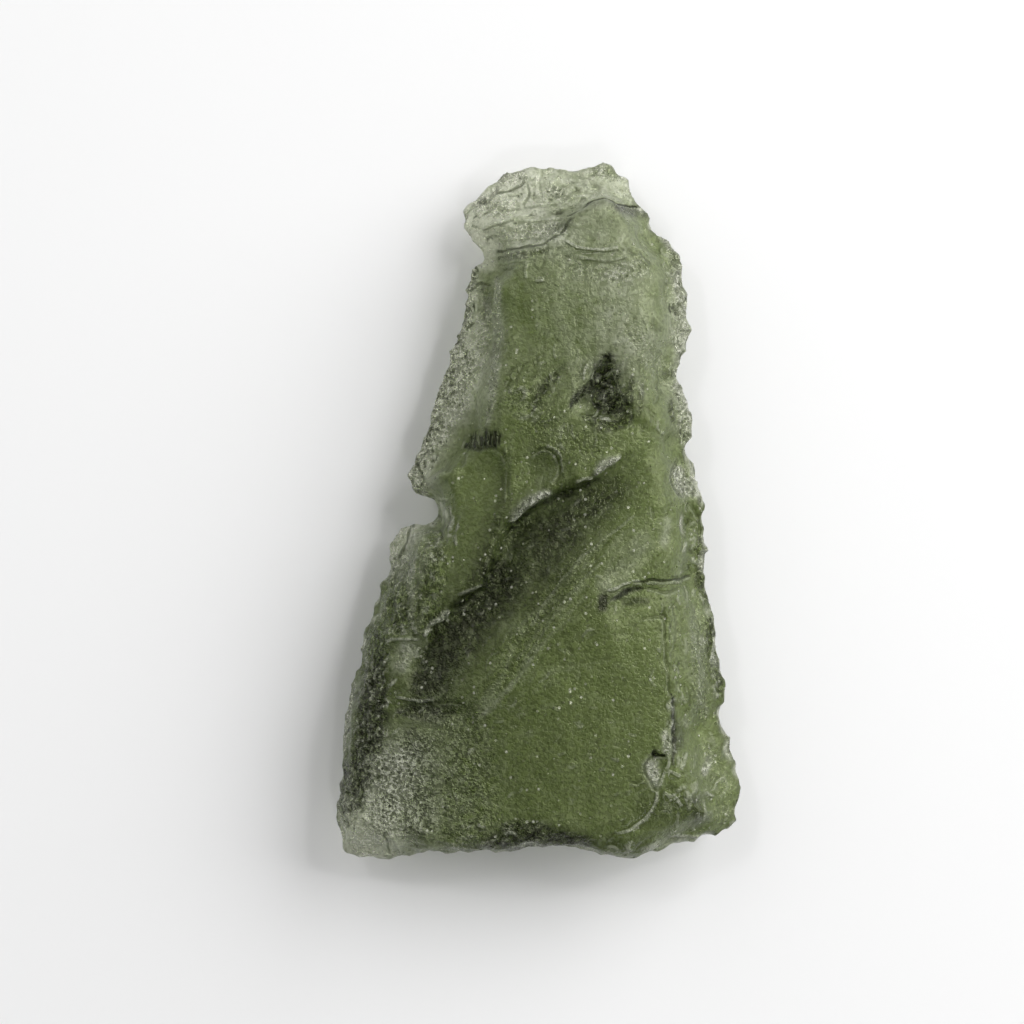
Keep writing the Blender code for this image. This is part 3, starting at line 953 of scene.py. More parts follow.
@dataclass(frozen=True)
class Studio:
    """A pale table, soft low light round it and a camera looking straight down."""

    picture_mm: float = 51.2
    aim: tuple[float, float, float] = (-1.3, -0.1, 2.4)
    lens_mm: float = 120.0
    film_mm: float = 36.0
    sky: float = 0.17
    lamps: tuple[Lamp, ...] = (
        Lamp("key soft box", (265.0, 170.0, 150.0), 420.0, 1.95),
        Lamp("glint lamp, right", (130.0, 90.0, 260.0), 26.0, 0.05),
        Lamp("glint lamp, left", (-110.0, 120.0, 260.0), 26.0, 0.05),
        Lamp("glint lamp, below", (40.0, -150.0, 260.0), 26.0, 0.05),
        Lamp("fill at the upper left", (-260.0, 240.0, 190.0), 640.0, 0.85),
        Lamp("fill at the lower right", (230.0, -270.0, 190.0), 640.0, 0.48),
    )

    def build(self) -> None:
        """Makes the table, the lights and the camera."""
        self._table()
        self._light()
        self._camera()
        bpy.context.scene.view_settings.view_transform = "Standard"

    def _table(self) -> None:
        """A wide sheet of white card, level with the stone's resting spot."""
        bpy.ops.object.select_all(action="DESELECT")
        bpy.ops.mesh.primitive_plane_add(size=4.0, location=(0, 0, 0))
        table = bpy.context.active_object
        table.name = "table"
        # White card is plain paper pulp, pressed smooth: bright, matt and without a gloss.
        card = bpy.data.materials.new("white card")
        card.use_nodes = True
        shader = card.node_tree.nodes["Principled BSDF"]
        shader.inputs["Base Color"].default_value = linear("F4F4F4")
        shader.inputs["Roughness"].default_value = 0.9
        shader.inputs["Specular IOR Level"].default_value = 0.0
        table.data.materials.append(card)

    def _light(self) -> None:
        """A dim room, so that the glossy skin mirrors little, and the soft boxes."""
        world = bpy.data.worlds.new("dim room")
        world.use_nodes = True
        world.node_tree.nodes["Background"].inputs["Color"].default_value = (1, 1, 1, 1)
        world.node_tree.nodes["Background"].inputs["Strength"].default_value = self.sky
        bpy.context.scene.world = world
        for lamp in self.lamps:
            lamp.build()

    def _camera(self) -> None:
        """A long lens over the stone, framed as the photograph."""
        distance = self.picture_mm * self.lens_mm / self.film_mm
        place = Vector(self.aim) + Vector((0, 0, distance))
        bpy.ops.object.camera_add(location=place * MM, rotation=(0, 0, 0))
        camera = bpy.context.active_object
        camera.data.lens = self.lens_mm
        camera.data.clip_start, camera.data.clip_end = 0.001, 10.0
        bpy.context.scene.camera = camera


def groove(
    name: str, line: Line, width: float, dark: float, lift: float = -0.05, grit: float = 0.0
) -> Mark:
    """Returns a dark mark that is sunk into the skin; its dark is painted shade in the crease."""
    return Mark(name, line, width, dark=dark, lift=lift, grit=grit)


def ridge(
    name: str, line: Line, width: float, pale: float, lift: float = 0.05, grit: float = 0.0
) -> Mark:
    """Returns a pale mark that stands out of the skin; its pale is mostly painted highlight
    along the raised line, and on some facets the pale of their frosted skin.
    """
    return Mark(name, line, width, pale, lift=lift, grit=grit)


def shade(name: str, line: Line, width: float, dark: float, grit: float = 0.0) -> Mark:
    """Returns a dark mark, level with the skin."""
    return Mark(name, line, width, dark=dark, grit=grit)


def frost(name: str, line: Line, width: float, pale: float, grit: float = 0.0) -> Mark:
    """Returns a pale mark, level with the skin."""
    return Mark(name, line, width, pale, grit=grit)


def grain(name: str, line: Line, width: float, grit: float) -> Mark:
    """Returns a patch that is only more grainy than the rest."""
    return Mark(name, line, width, grit=grit)


def deep(name: str, line: Line, width: float, dark: float = 0.0, pale: float = 0.0) -> Mark:
    """Returns a mark in the glass itself, so it shows on both faces."""
    return Mark(name, line, width, pale, dark, side=Side.THROUGH)


FLOW_STREAKS = [
    Streaks("body", [(1.4, 11.6), (1.0, 2.6)], 2.8, 88.0, 0.30),
    Streaks("left lip", [(-3.4, 11.0), (-5.2, 4.0)], 0.9, 72.0, 0.5),
    Streaks("flute bank", [(4.0, -1.4), (0.4, -5.0), (-2.4, -9.4)], 1.5, 50.0, 0.8, 0.24),
    Streaks("left side", [(-5.4, -1.6), (-6.4, -5.6)], 1.3, 84.0, 0.8, 0.26),
    Streaks("right edge", [(7.2, -4.0), (8.4, -10.0)], 0.9, 96.0, 0.5),
    Streaks("plateau", [(1.0, -8.4), (4.4, -9.2)], 2.6, 4.0, 0.26, pitch=0.5),
]

SCRATCHES = [
    Scratches("tip, left", [(-2.8, 14.6), (-0.5, 15.4), (1.6, 15.8)], 0.6, 110, 20.0, 0.95,
              (0.15, 0.6)),
    Scratches("tip, right", [(2.0, 16.2), (4.4, 16.2)], 0.4, 16, -20.0, 0.5),
    Scratches("tread", [(-2.2, 13.7), (1.5, 13.9)], 0.3, 40, 5.0, 0.8),
    Scratches("step", [(6.2, -4.8), (6.4, -8.8), (6.6, -12.0)], 0.16, 60, 92.0, 0.9, (0.15, 0.5)),
    Scratches("under the ledge", [(-1.9, 12.4), (1.4, 12.7), (4.8, 12.6)], 0.45, 36, 0.0),
    Scratches("left lip", [(-3.4, 12.0), (-3.9, 9.2), (-4.9, 5.6), (-6.0, 1.9)], 0.38, 170, 75.0,
              1.0, (0.1, 0.45)),
    Scratches("body", [(0.0, 11.0), (1.5, 3.0)], 1.6, 36, 88.0, 0.35),
    Scratches("pit", [(3.2, 7.2), (3.6, 5.0)], 0.45, 34, 62.0, 0.8),
    Scratches("left of the pit", [(-0.8, 6.8), (0.6, 5.2)], 0.7, 34, 62.0, 0.55),
    Scratches("right of the pit", [(4.8, 8.6), (5.2, 4.6)], 0.7, 34, 110.0, 0.5),
    Scratches("right lip", [(6.6, 13.0), (7.1, 9.5), (7.2, 5.0), (7.7, 1.0), (8.1, -3.0),
              (8.8, -9.0)], 0.3, 190, 100.0, 0.85, (0.1, 0.45)),
    Scratches("right body", [(6.6, -4.0), (7.4, -9.0), (8.4, -12.0)], 0.6, 44, 95.0, 0.45),
    Scratches("flute", [(3.0, 0.3), (-4.8, -7.6)], 0.9, 40, 45.0, 0.2, (0.15, 0.45)),
    Scratches("flute bank", [(3.6, -1.4), (-2.4, -9.4)], 0.9, 60, 50.0, 0.3),
    Scratches("left side", [(-5.4, -1.4), (-7.0, -6.4)], 0.8, 130, 82.0, 0.8, (0.1, 0.5)),
    Scratches("left bank", [(-7.9, -7.5), (-8.8, -12.0), (-9.4, -15.4)], 0.5, 190, 78.0, 0.9,
              (0.1, 0.45)),
    Scratches("grain field", [(-7.2, -12.0), (-6.4, -14.2), (-5.4, -16.0)], 1.2, 130, 40.0, 0.6,
              (0.15, 0.45)),
    Scratches("plateau", [(-1.0, -11.0), (3.0, -13.0)], 2.2, 60, 10.0, 0.3, (0.15, 0.4)),
    Scratches("base", [(-5.0, -16.2), (6.0, -16.3)], 0.5, 60, 5.0, 0.6),
    Scratches("base corner", [(6.0, -13.0), (9.0, -15.0)], 0.8, 50, 60.0, 0.55),
]

FLOW_MARKS = [
    deep("streak through the flute", [(3.4, 0.6), (0.6, -1.9), (-1.6, -4.0), (-4.2, -6.8),
         (-5.6, -8.8)], 1.35, dark=0.26),
    deep("streak of the left bank", [(-7.9, -7.5), (-8.4, -11.5), (-9.2, -15.0)], 0.9, dark=0.5),
    deep("streak of the pit", [(3.4, 6.8), (3.5, 5.2)], 0.6, dark=1.0),
    deep("streak of the base", [(-2.2, -16.3), (2.2, -16.2)], 0.7, dark=0.4),
    deep("lighter upper half", [(2.0, 12.6), (2.6, 8.0)], 3.0, pale=0.1),
    frost("light patch right of the middle", [(4.0, 10.6), (4.8, 8.4)], 1.5, 0.17),
    deep("pale left side of the tip", [(-3.1, 13.8), (-2.6, 15.0), (-1.4, 16.2)], 0.9, pale=0.8),
    deep("pale tip", [(-2.6, 14.4), (-0.9, 15.7), (1.6, 16.2), (4.0, 16.4)], 1.2, pale=0.34),
    deep("pale upper left", [(-3.5, 11.5), (-4.2, 7.6), (-5.3, 4.3), (-6.0, 1.8)], 0.8, pale=0.7),
    deep("pale below the lip", [(-4.0, 7.2), (-4.4, 5.6)], 0.7, pale=0.6),
    deep("pale frosted tip", [(-2.3, 15.4), (-1.3, 15.1)], 0.7, pale=0.6),
    deep("pale left body edge", [(-2.9, 10.5), (-3.3, 7.5), (-4.2, 4.8)], 0.7, pale=0.25),
    deep("pale upper notch", [(-5.8, 3.2), (-6.2, 1.4)], 0.6, pale=0.8),
    deep("pale lower notch", [(-6.7, -1.0), (-7.2, -2.2)], 0.6, pale=0.9),
    deep("pale tread", [(-2.2, 13.6), (0.4, 13.7)], 0.5, pale=0.5),
    deep("pale base corner", [(-8.2, -15.4), (-8.6, -16.8)], 1.1, pale=1.0),
    deep("pale grain field", [(-7.2, -12.6), (-7.6, -15.2)], 1.0, pale=0.2),
    deep("thick right edge", [(7.6, 2.0), (8.2, -3.0), (8.8, -8.0), (9.3, -11.0)], 0.6, dark=0.22),
    deep("pale upper right", [(7.1, 12.0), (7.3, 8.5), (7.3, 5.0)], 0.5, pale=0.4),
]

TIP_MARKS = [
    frost("pale all over", [(-2.6, 14.7), (-0.9, 15.7), (1.6, 16.2), (4.2, 16.3)], 1.2, 0.14),
    frost("hooked left end", [(-3.3, 14.6), (-2.9, 13.2)], 0.65, 0.85),
    shade("green nose", [(-3.6, 15.1), (-3.0, 15.3)], 0.35, 0.4),
    ridge("lip of the left end", [(-3.6, 14.2), (-3.3, 14.9), (-2.7, 15.1)], 0.05, 0.8),
    groove("facet outline", [(-2.1, 15.9), (-1.5, 15.95), (-0.9, 16.2), (-0.6, 16.6)], 0.06, 0.8,
           -0.06),
    groove("shell line", [(-0.6, 16.3), (-0.5, 15.7), (-0.7, 15.2)], 0.05, 0.6, -0.04),
    groove("long arc", [(-1.6, 14.9), (0.2, 15.1), (1.1, 15.3), (1.7, 15.8)], 0.05, 0.5, -0.04),
    shade("spots of the left edge", [(-3.1, 14.9), (-2.7, 15.1)], 0.14, 0.7),
    ridge("frosted facet", [(-1.7, 16.6), (-0.95, 16.6)], 0.38, 1.0, 0.08, grit=1.0),
    frost("frosted left", [(-2.6, 15.2), (-1.8, 15.1)], 0.7, 1.0, grit=0.9),
    frost("bright strip", [(-1.0, 14.95), (0.1, 14.8)], 0.22, 0.8),
    ridge("bright line", [(-2.75, 14.05), (-1.9, 14.3), (-0.9, 14.55)], 0.07, 1.0, 0.1),
    frost("white root", [(-2.75, 13.2), (-2.5, 12.4)], 0.35, 0.8),
    groove("seam", [(0.15, 17.0), (0.15, 15.6)], 0.05, 0.35),
    ridge("small arc", [(0.8, 15.1), (1.3, 15.25), (1.7, 15.6)], 0.05, 0.5),
    grain("pitted patch", [(0.7, 15.9), (1.2, 15.7)], 0.3, 1.0),
    grain("right texture", [(3.0, 16.9), (4.2, 16.8)], 0.4, 0.8),
    grain("left grain", [(-2.6, 15.6), (-0.6, 15.8), (1.0, 15.4)], 1.0, 0.4),
    groove("ledge, shaded face", [(1.5, 14.55), (2.1, 14.95), (2.7, 15.38), (3.35, 15.52),
           (4.1, 15.18), (5.0, 15.22)], 0.1, 1.0, -0.1),
    shade("ledge, shade", [(2.0, 14.6), (2.8, 15.0), (3.5, 15.15), (4.2, 14.85)], 0.2, 0.45),
    shade("ledge, right shade", [(4.0, 14.9), (5.3, 14.8)], 0.3, 0.75, grit=0.5),
    groove("ledge, left face", [(-2.0, 12.9), (-0.9, 12.95), (0.2, 13.1), (1.1, 13.65),
           (1.6, 14.3)], 0.06, 0.85),
    shade("tread, dark pool", [(0.2, 13.85), (1.6, 13.95)], 0.32, 0.25),
    frost("tread, grey", [(-2.0, 13.6), (0.6, 13.7)], 0.55, 1.0),
    ridge("tread, upper edge", [(-0.9, 14.4), (0.4, 14.4), (1.5, 14.45)], 0.05, 0.7),
    shade("tread, dark band", [(0.0, 14.0), (1.7, 14.05)], 0.14, 0.6),
    ridge("tread, lower line", [(-1.8, 13.45), (-0.4, 13.5), (0.8, 13.6)], 0.05, 0.6, 0.04),
    shade("under the ledge", [(-1.9, 12.6), (-0.8, 12.55), (0.4, 12.8)], 0.22, 0.5, grit=0.8),
    ridge("under the ledge, bright bits", [(-1.9, 12.35), (-0.9, 12.25), (-0.3, 12.4)], 0.07, 0.5,
          0.06),
    groove("ledge root", [(0.1, 11.9), (0.5, 13.0)], 0.1, 0.35, -0.06),
    ridge("first ripple", [(1.3, 13.25), (2.0, 12.95), (2.9, 12.82), (3.9, 12.9)], 0.055, 1.0,
          0.07),
    frost("shell above the ripple", [(1.9, 13.4), (2.5, 13.9), (3.4, 13.8), (3.9, 13.4)], 0.6,
          0.16),
    ridge("second ripple", [(1.9, 12.5), (3.0, 12.3), (4.3, 12.5)], 0.055, 0.6),
    frost("grain under the ripples", [(1.9, 11.8), (3.6, 11.6), (5.1, 12.0)], 0.6, 0.1, grit=0.65),
    ridge("glint column", [(-0.55, 12.2), (-0.55, 11.5)], 0.06, 0.6, 0.04),
    ridge("glint", [(-0.05, 11.25), (0.15, 11.25)], 0.08, 0.9, 0.06),
    groove("dark left edge", [(-3.3, 15.2), (-2.8, 15.5), (-2.35, 15.8), (-2.0, 16.2)], 0.15, 1.0,
           -0.08, grit=0.8),
    shade("spots beside the edge", [(-2.9, 15.1), (-2.5, 15.35)], 0.13, 0.9),
]

UPPER_MARKS = [
    frost("left lip, pale", [(-3.3, 12.0), (-3.7, 10.6), (-3.95, 9.2), (-4.35, 7.6), (-4.9, 5.7),
          (-5.3, 4.3), (-5.8, 2.9), (-6.2, 1.8)], 0.55, 0.7, grit=1.5),
    frost("left lip, grey", [(-2.6, 9.8), (-3.2, 7.6), (-4.0, 5.4)], 0.75, 0.25, grit=0.7),
    frost("left lip, bright", [(-3.7, 7.5), (-4.3, 5.2)], 0.7, 1.0, grit=1.3),
    shade("left lip, dark pocket", [(-4.5, 4.4), (-4.9, 3.4)], 0.45, 0.3, grit=0.9),
    ridge("left lip, bright edge", [(-3.6, 11.0), (-3.65, 9.9)], 0.18, 1.0),
    shade("left lip, chip", [(-2.9, 11.1), (-2.6, 10.9), (-2.5, 9.6)], 0.45, 0.5, grit=0.5),
    groove("left lip, chip edge", [(-3.35, 10.95), (-2.9, 11.3), (-2.35, 11.2)], 0.08, 0.7, -0.1),
    ridge("left lip, inner line", [(-3.0, 6.9), (-3.4, 6.1), (-3.8, 5.5)], 0.05, 0.5, 0.04),
    groove("left lip, inner twin", [(-3.2, 6.9), (-3.6, 6.1), (-4.0, 5.5)], 0.05, 0.3, -0.04),
    frost("upper notch lobe", [(-5.8, 3.4), (-6.1, 2.0), (-6.0, 1.1)], 0.45, 0.9, grit=1.5),
    groove("upper lobe, arc", [(-6.1, 2.4), (-5.75, 1.7), (-5.85, 1.1)], 0.05, 0.7),
    ridge("upper lobe, lip", [(-6.45, 1.9), (-6.35, 1.2), (-5.9, 0.85), (-5.4, 0.8)], 0.08, 0.9,
          0.08),
    frost("upper lobe, root", [(-5.5, 1.4), (-5.0, 0.55), (-4.5, 0.5)], 0.12, 0.6),
    frost("body, left edge", [(-2.05, 11.6), (-2.05, 9.0), (-2.2, 6.5), (-2.5, 4.2)], 0.25, 0.2,
          grit=0.7),
    grain("body, grain of the middle", [(-0.8, 5.4), (0.6, 3.6), (2.4, 3.0)], 1.2, 0.6),
    grain("tread, grain", [(-1.8, 13.7), (1.2, 13.9)], 0.5, 0.8),
    shade("streak, upper", [(0.9, 6.6), (0.2, 5.9), (-0.3, 4.9)], 0.28, 0.45, grit=0.9),
    groove("streak, line", [(-0.75, 7.1), (-1.05, 6.3)], 0.08, 0.45, -0.03),
    shade("streak, left", [(-1.6, 6.3), (-1.9, 5.0), (-2.0, 4.2)], 0.14, 0.3),
    groove("streak, tail", [(1.9, 5.3), (1.2, 4.5), (0.2, 4.15)], 0.1, 0.35, -0.03),
    groove("pit, left leg", [(3.3, 7.1), (2.7, 6.2), (2.1, 5.7), (1.6, 5.1)], 0.3, 0.95, -0.1,
           grit=0.9),
    groove("pit, apex", [(3.4, 7.4), (3.45, 6.5)], 0.3, 1.0, -0.1, grit=1.3),
    groove("pit, middle", [(3.35, 6.5), (3.3, 5.8)], 0.55, 1.0, -0.1, grit=1.4),
    groove("pit, floor", [(3.4, 5.5), (3.95, 5.2)], 0.62, 1.0, -0.1, grit=1.4),
    shade("pit, right bank", [(4.5, 6.6), (4.6, 5.4)], 0.14, 0.5, grit=0.8),
    shade("pit, far shade", [(5.1, 6.3), (4.95, 4.8)], 0.18, 0.45, grit=0.6),
    shade("pit, lower rim", [(2.2, 4.6), (3.4, 4.1), (4.6, 4.6)], 0.35, 0.22, grit=1.0),
    ridge("pit, glint", [(3.1, 4.45), (3.45, 4.42)], 0.07, 1.0, 0.06),
    grain("above the pit", [(4.6, 8.6), (5.6, 7.6), (6.4, 6.6)], 0.8, 0.5),
    shade("left scoop", [(-2.7, 2.7), (-2.7, 0.2)], 1.1, 0.08),
    groove("left scoop, brow", [(-3.9, 2.2), (-3.5, 2.9), (-2.8, 3.05), (-2.0, 2.9), (-1.6, 2.3)],
           0.1, 0.4),
    shade("lashes, shade", [(-3.5, 3.4), (-2.1, 3.45)], 0.28, 0.5),
    groove("lashes, root", [(-3.5, 3.02), (-2.9, 3.08), (-2.1, 3.12)], 0.13, 0.7, -0.04),
    shade("left scoop, right bank", [(-1.7, 2.6), (-1.75, 0.4), (-2.2, -1.2)], 0.35, 0.3),
    groove("left scoop, right edge", [(-1.5, 3.0), (-1.45, 1.6), (-1.5, 0.4)], 0.06, 0.3, -0.04),
    shade("left scoop, left edge", [(-4.1, 2.7), (-4.15, 1.0), (-4.2, 0.0)], 0.12, 0.18),
    shade("right scoop", [(0.3, 2.4), (0.35, 1.4)], 0.7, 0.3),
    groove("right scoop, brow", [(-0.4, 2.7), (0.3, 3.0), (0.85, 2.6), (1.0, 1.8), (0.75, 1.3)],
           0.07, 0.5, -0.06),
    ridge("right scoop, rim", [(0.45, 3.15), (1.05, 2.75), (1.15, 1.9)], 0.05, 0.4),
]

# The flute: painted shade fills its hollow below the crests, over the darker streak in the glass,
# and its crests carry painted highlights.
FLUTE_MARKS = [
    shade("head", [(3.7, 0.9), (1.9, -0.3), (0.4, -1.7)], 1.05, 0.55, grit=0.5),
    shade("below the crest", [(-1.3, -0.9), (-0.4, 0.15), (0.6, 0.5), (1.9, 1.05), (3.0, 1.5)],
          0.22, 0.7),
    shade("between scoop and flute", [(-2.1, -0.5), (-2.4, -2.2), (-3.3, -4.0)], 0.9, 0.16,
          grit=0.45),
    shade("middle", [(1.2, -0.9), (-0.9, -2.8), (-2.6, -4.9)], 1.5, 0.36, grit=0.5),
    shade("shoulder", [(-0.6, -0.6), (-1.9, -1.6), (-2.4, -3.2)], 0.85, 0.32, grit=0.5),
    shade("foot", [(-1.9, -3.6), (-3.2, -5.3), (-4.4, -7.0), (-5.4, -8.8)], 1.25, 0.62, grit=0.6),
    shade("darkest", [(-3.6, -5.0), (-4.8, -6.7), (-5.6, -8.6)], 0.75, 0.78, grit=0.6),
    ridge("crest, low end", [(-1.35, -0.45), (-0.9, 0.05), (-0.2, 0.6), (0.5, 0.85)], 0.19, 0.42,
          0.14, grit=1.0),
    ridge("crest, bright lip", [(-1.4, -0.5), (-0.95, 0.0), (-0.4, 0.45)], 0.05, 0.8, 0.03),
    ridge("crest, thin middle", [(1.85, 1.4), (2.6, 1.6)], 0.07, 0.5, 0.1),
    ridge("crest, high end", [(2.75, 1.8), (3.2, 2.2), (3.9, 2.6)], 0.17, 0.5, 0.14, grit=1.0),
    ridge("low crest", [(-5.6, -6.1), (-5.3, -5.6), (-4.9, -5.35), (-4.5, -4.95)], 0.13, 0.5, 0.12,
          grit=1.0),
    ridge("low crest, faint end", [(-3.9, -4.1), (-2.9, -3.7)], 0.08, 0.35, 0.08),
    ridge("bank line 1", [(4.6, -0.4), (2.6, -1.9), (1.0, -3.6), (-0.4, -5.6)], 0.1, 0.2, 0.04),
    ridge("bank line 2", [(3.0, -2.6), (1.6, -4.0), (0.3, -5.8), (-0.8, -7.6)], 0.12, 0.14, 0.04),
    groove("bank line 3", [(3.4, -1.6), (1.7, -3.2), (0.3, -5.0), (-1.2, -7.0)], 0.08, 0.16, -0.04),
    ridge("bank line 4", [(0.0, -6.6), (-1.4, -8.6), (-3.0, -10.2)], 0.14, 0.16, 0.04),
    groove("bank line 5", [(2.0, -4.6), (0.6, -6.4), (-0.6, -8.6)], 0.1, 0.14, -0.03),
    grain("bank, grain", [(2.6, -2.0), (0.2, -5.0), (-2.4, -8.8)], 1.1, 0.55),
]

RIGHT_MARKS = [
    frost("upper right lip", [(6.5, 13.2), (7.0, 12.0), (7.1, 10.4), (7.2, 9.0), (7.0, 8.0)], 0.45,
          0.2, grit=0.9),
    ridge("upper right chips", [(6.3, 13.6), (6.8, 13.1)], 0.15, 0.7, grit=1.0),
    frost("right lobe", [(7.0, 6.0), (7.35, 5.0), (7.35, 3.8)], 0.45, 0.35, grit=0.9),
    shade("right lobe, shade", [(6.6, 5.5), (6.7, 4.3)], 0.18, 0.45, grit=0.8),
    shade("right notch shade", [(6.2, 6.7), (6.9, 6.8)], 0.22, 0.35, grit=0.8),
    ridge("right facet", [(6.95, 1.9), (7.2, 0.9)], 0.32, 0.45, grit=1.3),
    groove("right facet, outline", [(6.95, 2.5), (6.6, 1.9), (6.65, 1.3), (6.95, 0.7)], 0.06, 0.6),
    ridge("right facet, bright", [(7.6, 1.5), (7.75, 0.8)], 0.16, 0.95, 0.06, grit=1.0),
    frost("right lip, upper", [(7.5, 2.6), (7.95, 1.4), (8.15, 0.2)], 0.2, 0.55),
    groove("right lip, dark seam", [(7.6, 0.2), (8.0, -0.5), (8.1, -1.7)], 0.12, 0.45, -0.08),
    shade("right lip, middle", [(8.1, -1.3), (8.1, -3.2), (8.3, -4.4)], 0.35, 0.25, grit=0.9),
    shade("right lip, lower", [(8.5, -5.4), (8.75, -7.2), (9.1, -8.9)], 0.4, 0.3, grit=0.9),
    ridge("right lip, bright line", [(8.75, -6.3), (8.7, -6.9), (8.55, -7.5)], 0.08, 0.8, 0.06),
    frost("right body edge", [(7.8, -5.0), (8.0, -8.0), (8.2, -10.4)], 0.6, 0.08, grit=0.6),
    frost("light facet", [(5.0, -1.6), (4.3, -2.6), (3.4, -3.6)], 0.6, 0.12),
    frost("light facet, high patch", [(6.35, -0.6), (6.2, -1.6)], 0.22, 0.2),
    groove("spot above the facet", [(5.6, 0.1), (5.7, -0.4)], 0.12, 0.5, -0.03),
    shade("hook, dark end", [(3.2, -4.3), (3.1, -4.8)], 0.24, 1.0),
    groove("hook, bar", [(3.6, -4.35), (4.3, -3.98), (5.1, -3.78)], 0.16, 0.95),
    shade("hook, lower bar", [(4.2, -4.5), (5.2, -4.45)], 0.17, 0.7),
    ridge("hook, lit brow", [(3.4, -3.95), (4.2, -3.6), (4.9, -3.45)], 0.06, 0.7),
    groove("hook, upper line", [(4.7, -3.5), (5.4, -3.45), (6.4, -3.45), (7.5, -3.3)], 0.09, 0.8,
           -0.06),
    groove("hook, right line", [(5.4, -3.8), (6.3, -4.0), (6.8, -3.9)], 0.1, 0.5, -0.04),
    groove("low ripple", [(5.0, -5.3), (5.9, -5.2)], 0.1, 0.35, -0.03),
    groove("low ripple 2", [(2.0, -6.1), (4.4, -6.0)], 0.14, 0.16, -0.03),
    groove("low ripple 3", [(0.4, -7.6), (3.4, -7.3)], 0.12, 0.14, -0.03),
    groove("step, upper", [(6.15, -4.6), (6.2, -6.6), (6.45, -9.0)], 0.06, 0.45, -0.03, grit=0.6),
    groove("step, upper twin", [(6.65, -4.6), (6.8, -6.2), (6.6, -7.4)], 0.06, 0.3, -0.03,
           grit=0.6),
    groove("step, dark", [(6.5, -9.0), (6.6, -10.2), (6.7, -11.4), (6.5, -12.4)], 0.14, 1.0, -0.06),
    shade("step, dark wedge", [(6.75, -10.5), (6.95, -11.3), (6.8, -11.7)], 0.25, 0.5),
    frost("beside the step", [(6.2, -10.9), (6.3, -11.8)], 0.2, 0.35, grit=0.8),
]

LOWER_LEFT_MARKS = [
    frost("lower lobe", [(-6.8, -0.9), (-7.2, -1.6), (-7.15, -2.3)], 0.5, 1.0, grit=0.6),
    ridge("lower lobe, top", [(-6.3, -0.8), (-5.3, -0.75)], 0.18, 0.5),
    groove("lower lobe, line", [(-6.5, -0.9), (-6.6, -1.7), (-6.9, -2.4)], 0.06, 0.8),
    groove("lower lobe, upper arc", [(-7.0, -0.7), (-6.4, -0.4), (-5.6, -0.45), (-4.9, -0.3)], 0.05,
           0.7),
    ridge("crack beside the notch", [(-4.3, 0.1), (-4.2, -0.5), (-4.4, -1.0)], 0.05, 0.8),
    ridge("notch root", [(-4.9, 0.3), (-4.5, -0.3), (-4.3, -0.9)], 0.15, 0.5, 0.04),
    frost("left side, grey", [(-6.9, -2.8), (-6.9, -5.4)], 0.9, 0.04, grit=1.0),
    frost("left side, light strip", [(-6.2, -2.8), (-6.25, -5.2)], 0.18, 0.2, grit=0.6),
    shade("left side, dark stripe", [(-5.8, -3.4), (-5.95, -5.4)], 0.14, 0.3),
    grain("left side, grain", [(-5.2, -1.8), (-5.4, -5.6)], 0.8, 0.8),
    shade("nick above the facet", [(-6.2, -5.4), (-5.95, -6.3)], 0.24, 0.5),
    ridge("nick, glint", [(-7.4, -6.5), (-6.9, -6.3), (-6.0, -6.4)], 0.08, 0.8, 0.1),
    frost("small facet", [(-6.4, -6.7), (-6.8, -7.7)], 0.4, 0.3, grit=0.5),
    shade("facet, left shade", [(-7.2, -6.8), (-7.6, -7.5)], 0.25, 0.3),
    shade("left bank, upper", [(-7.9, -6.2), (-8.2, -8.6)], 0.6, 0.35, grit=1.1),
    shade("left bank", [(-7.9, -8.2), (-8.2, -10.2), (-8.4, -12.0), (-8.8, -13.6), (-9.3, -14.8)],
          0.7, 0.85, grit=1.5),
    shade("left bank, foot", [(-9.6, -13.0), (-9.6, -15.2)], 0.5, 0.6, grit=1.2),
    frost("left bank, pale rim", [(-9.15, -8.6), (-9.5, -10.6), (-9.7, -12.0)], 0.14, 0.5,
          grit=1.0),
    shade("green hollow", [(-6.8, -9.9), (-5.6, -10.0), (-4.2, -9.9)], 0.4, 0.75, grit=0.7),
    ridge("green hollow, brow", [(-6.9, -9.2), (-6.0, -9.35), (-5.2, -9.25)], 0.06, 0.5),
    groove("green hollow, brow end", [(-4.9, -9.45), (-3.9, -9.4)], 0.06, 0.5),
    shade("green hollow, tail", [(-6.4, -10.7), (-6.1, -11.7)], 0.4, 0.5),
    frost("grain field", [(-7.3, -12.6), (-7.4, -14.2), (-7.9, -15.6)], 0.8, 0.38, grit=1.3),
    frost("grain field, middle", [(-6.0, -12.0), (-6.1, -15.2)], 1.2, 0.14, grit=1.0),
    frost("grain field, right", [(-4.0, -10.6), (-3.6, -13.0), (-3.4, -15.4)], 1.8, 0.05, grit=0.7),
    frost("base corner", [(-8.4, -15.7), (-8.6, -16.8)], 0.9, 1.0, grit=0.7),
    frost("base corner, rim", [(-9.0, -17.2), (-7.8, -17.2)], 0.3, 0.7),
    groove("corner crack", [(-7.6, -15.9), (-7.4, -16.9)], 0.12, 0.7, -0.08, grit=1.0),
    ridge("corner crack, lit side", [(-7.2, -16.0), (-6.8, -16.9)], 0.06, 0.6),
    ridge("corner, lit foot", [(-7.6, -17.05), (-7.1, -17.05)], 0.06, 0.9, 0.04),
]

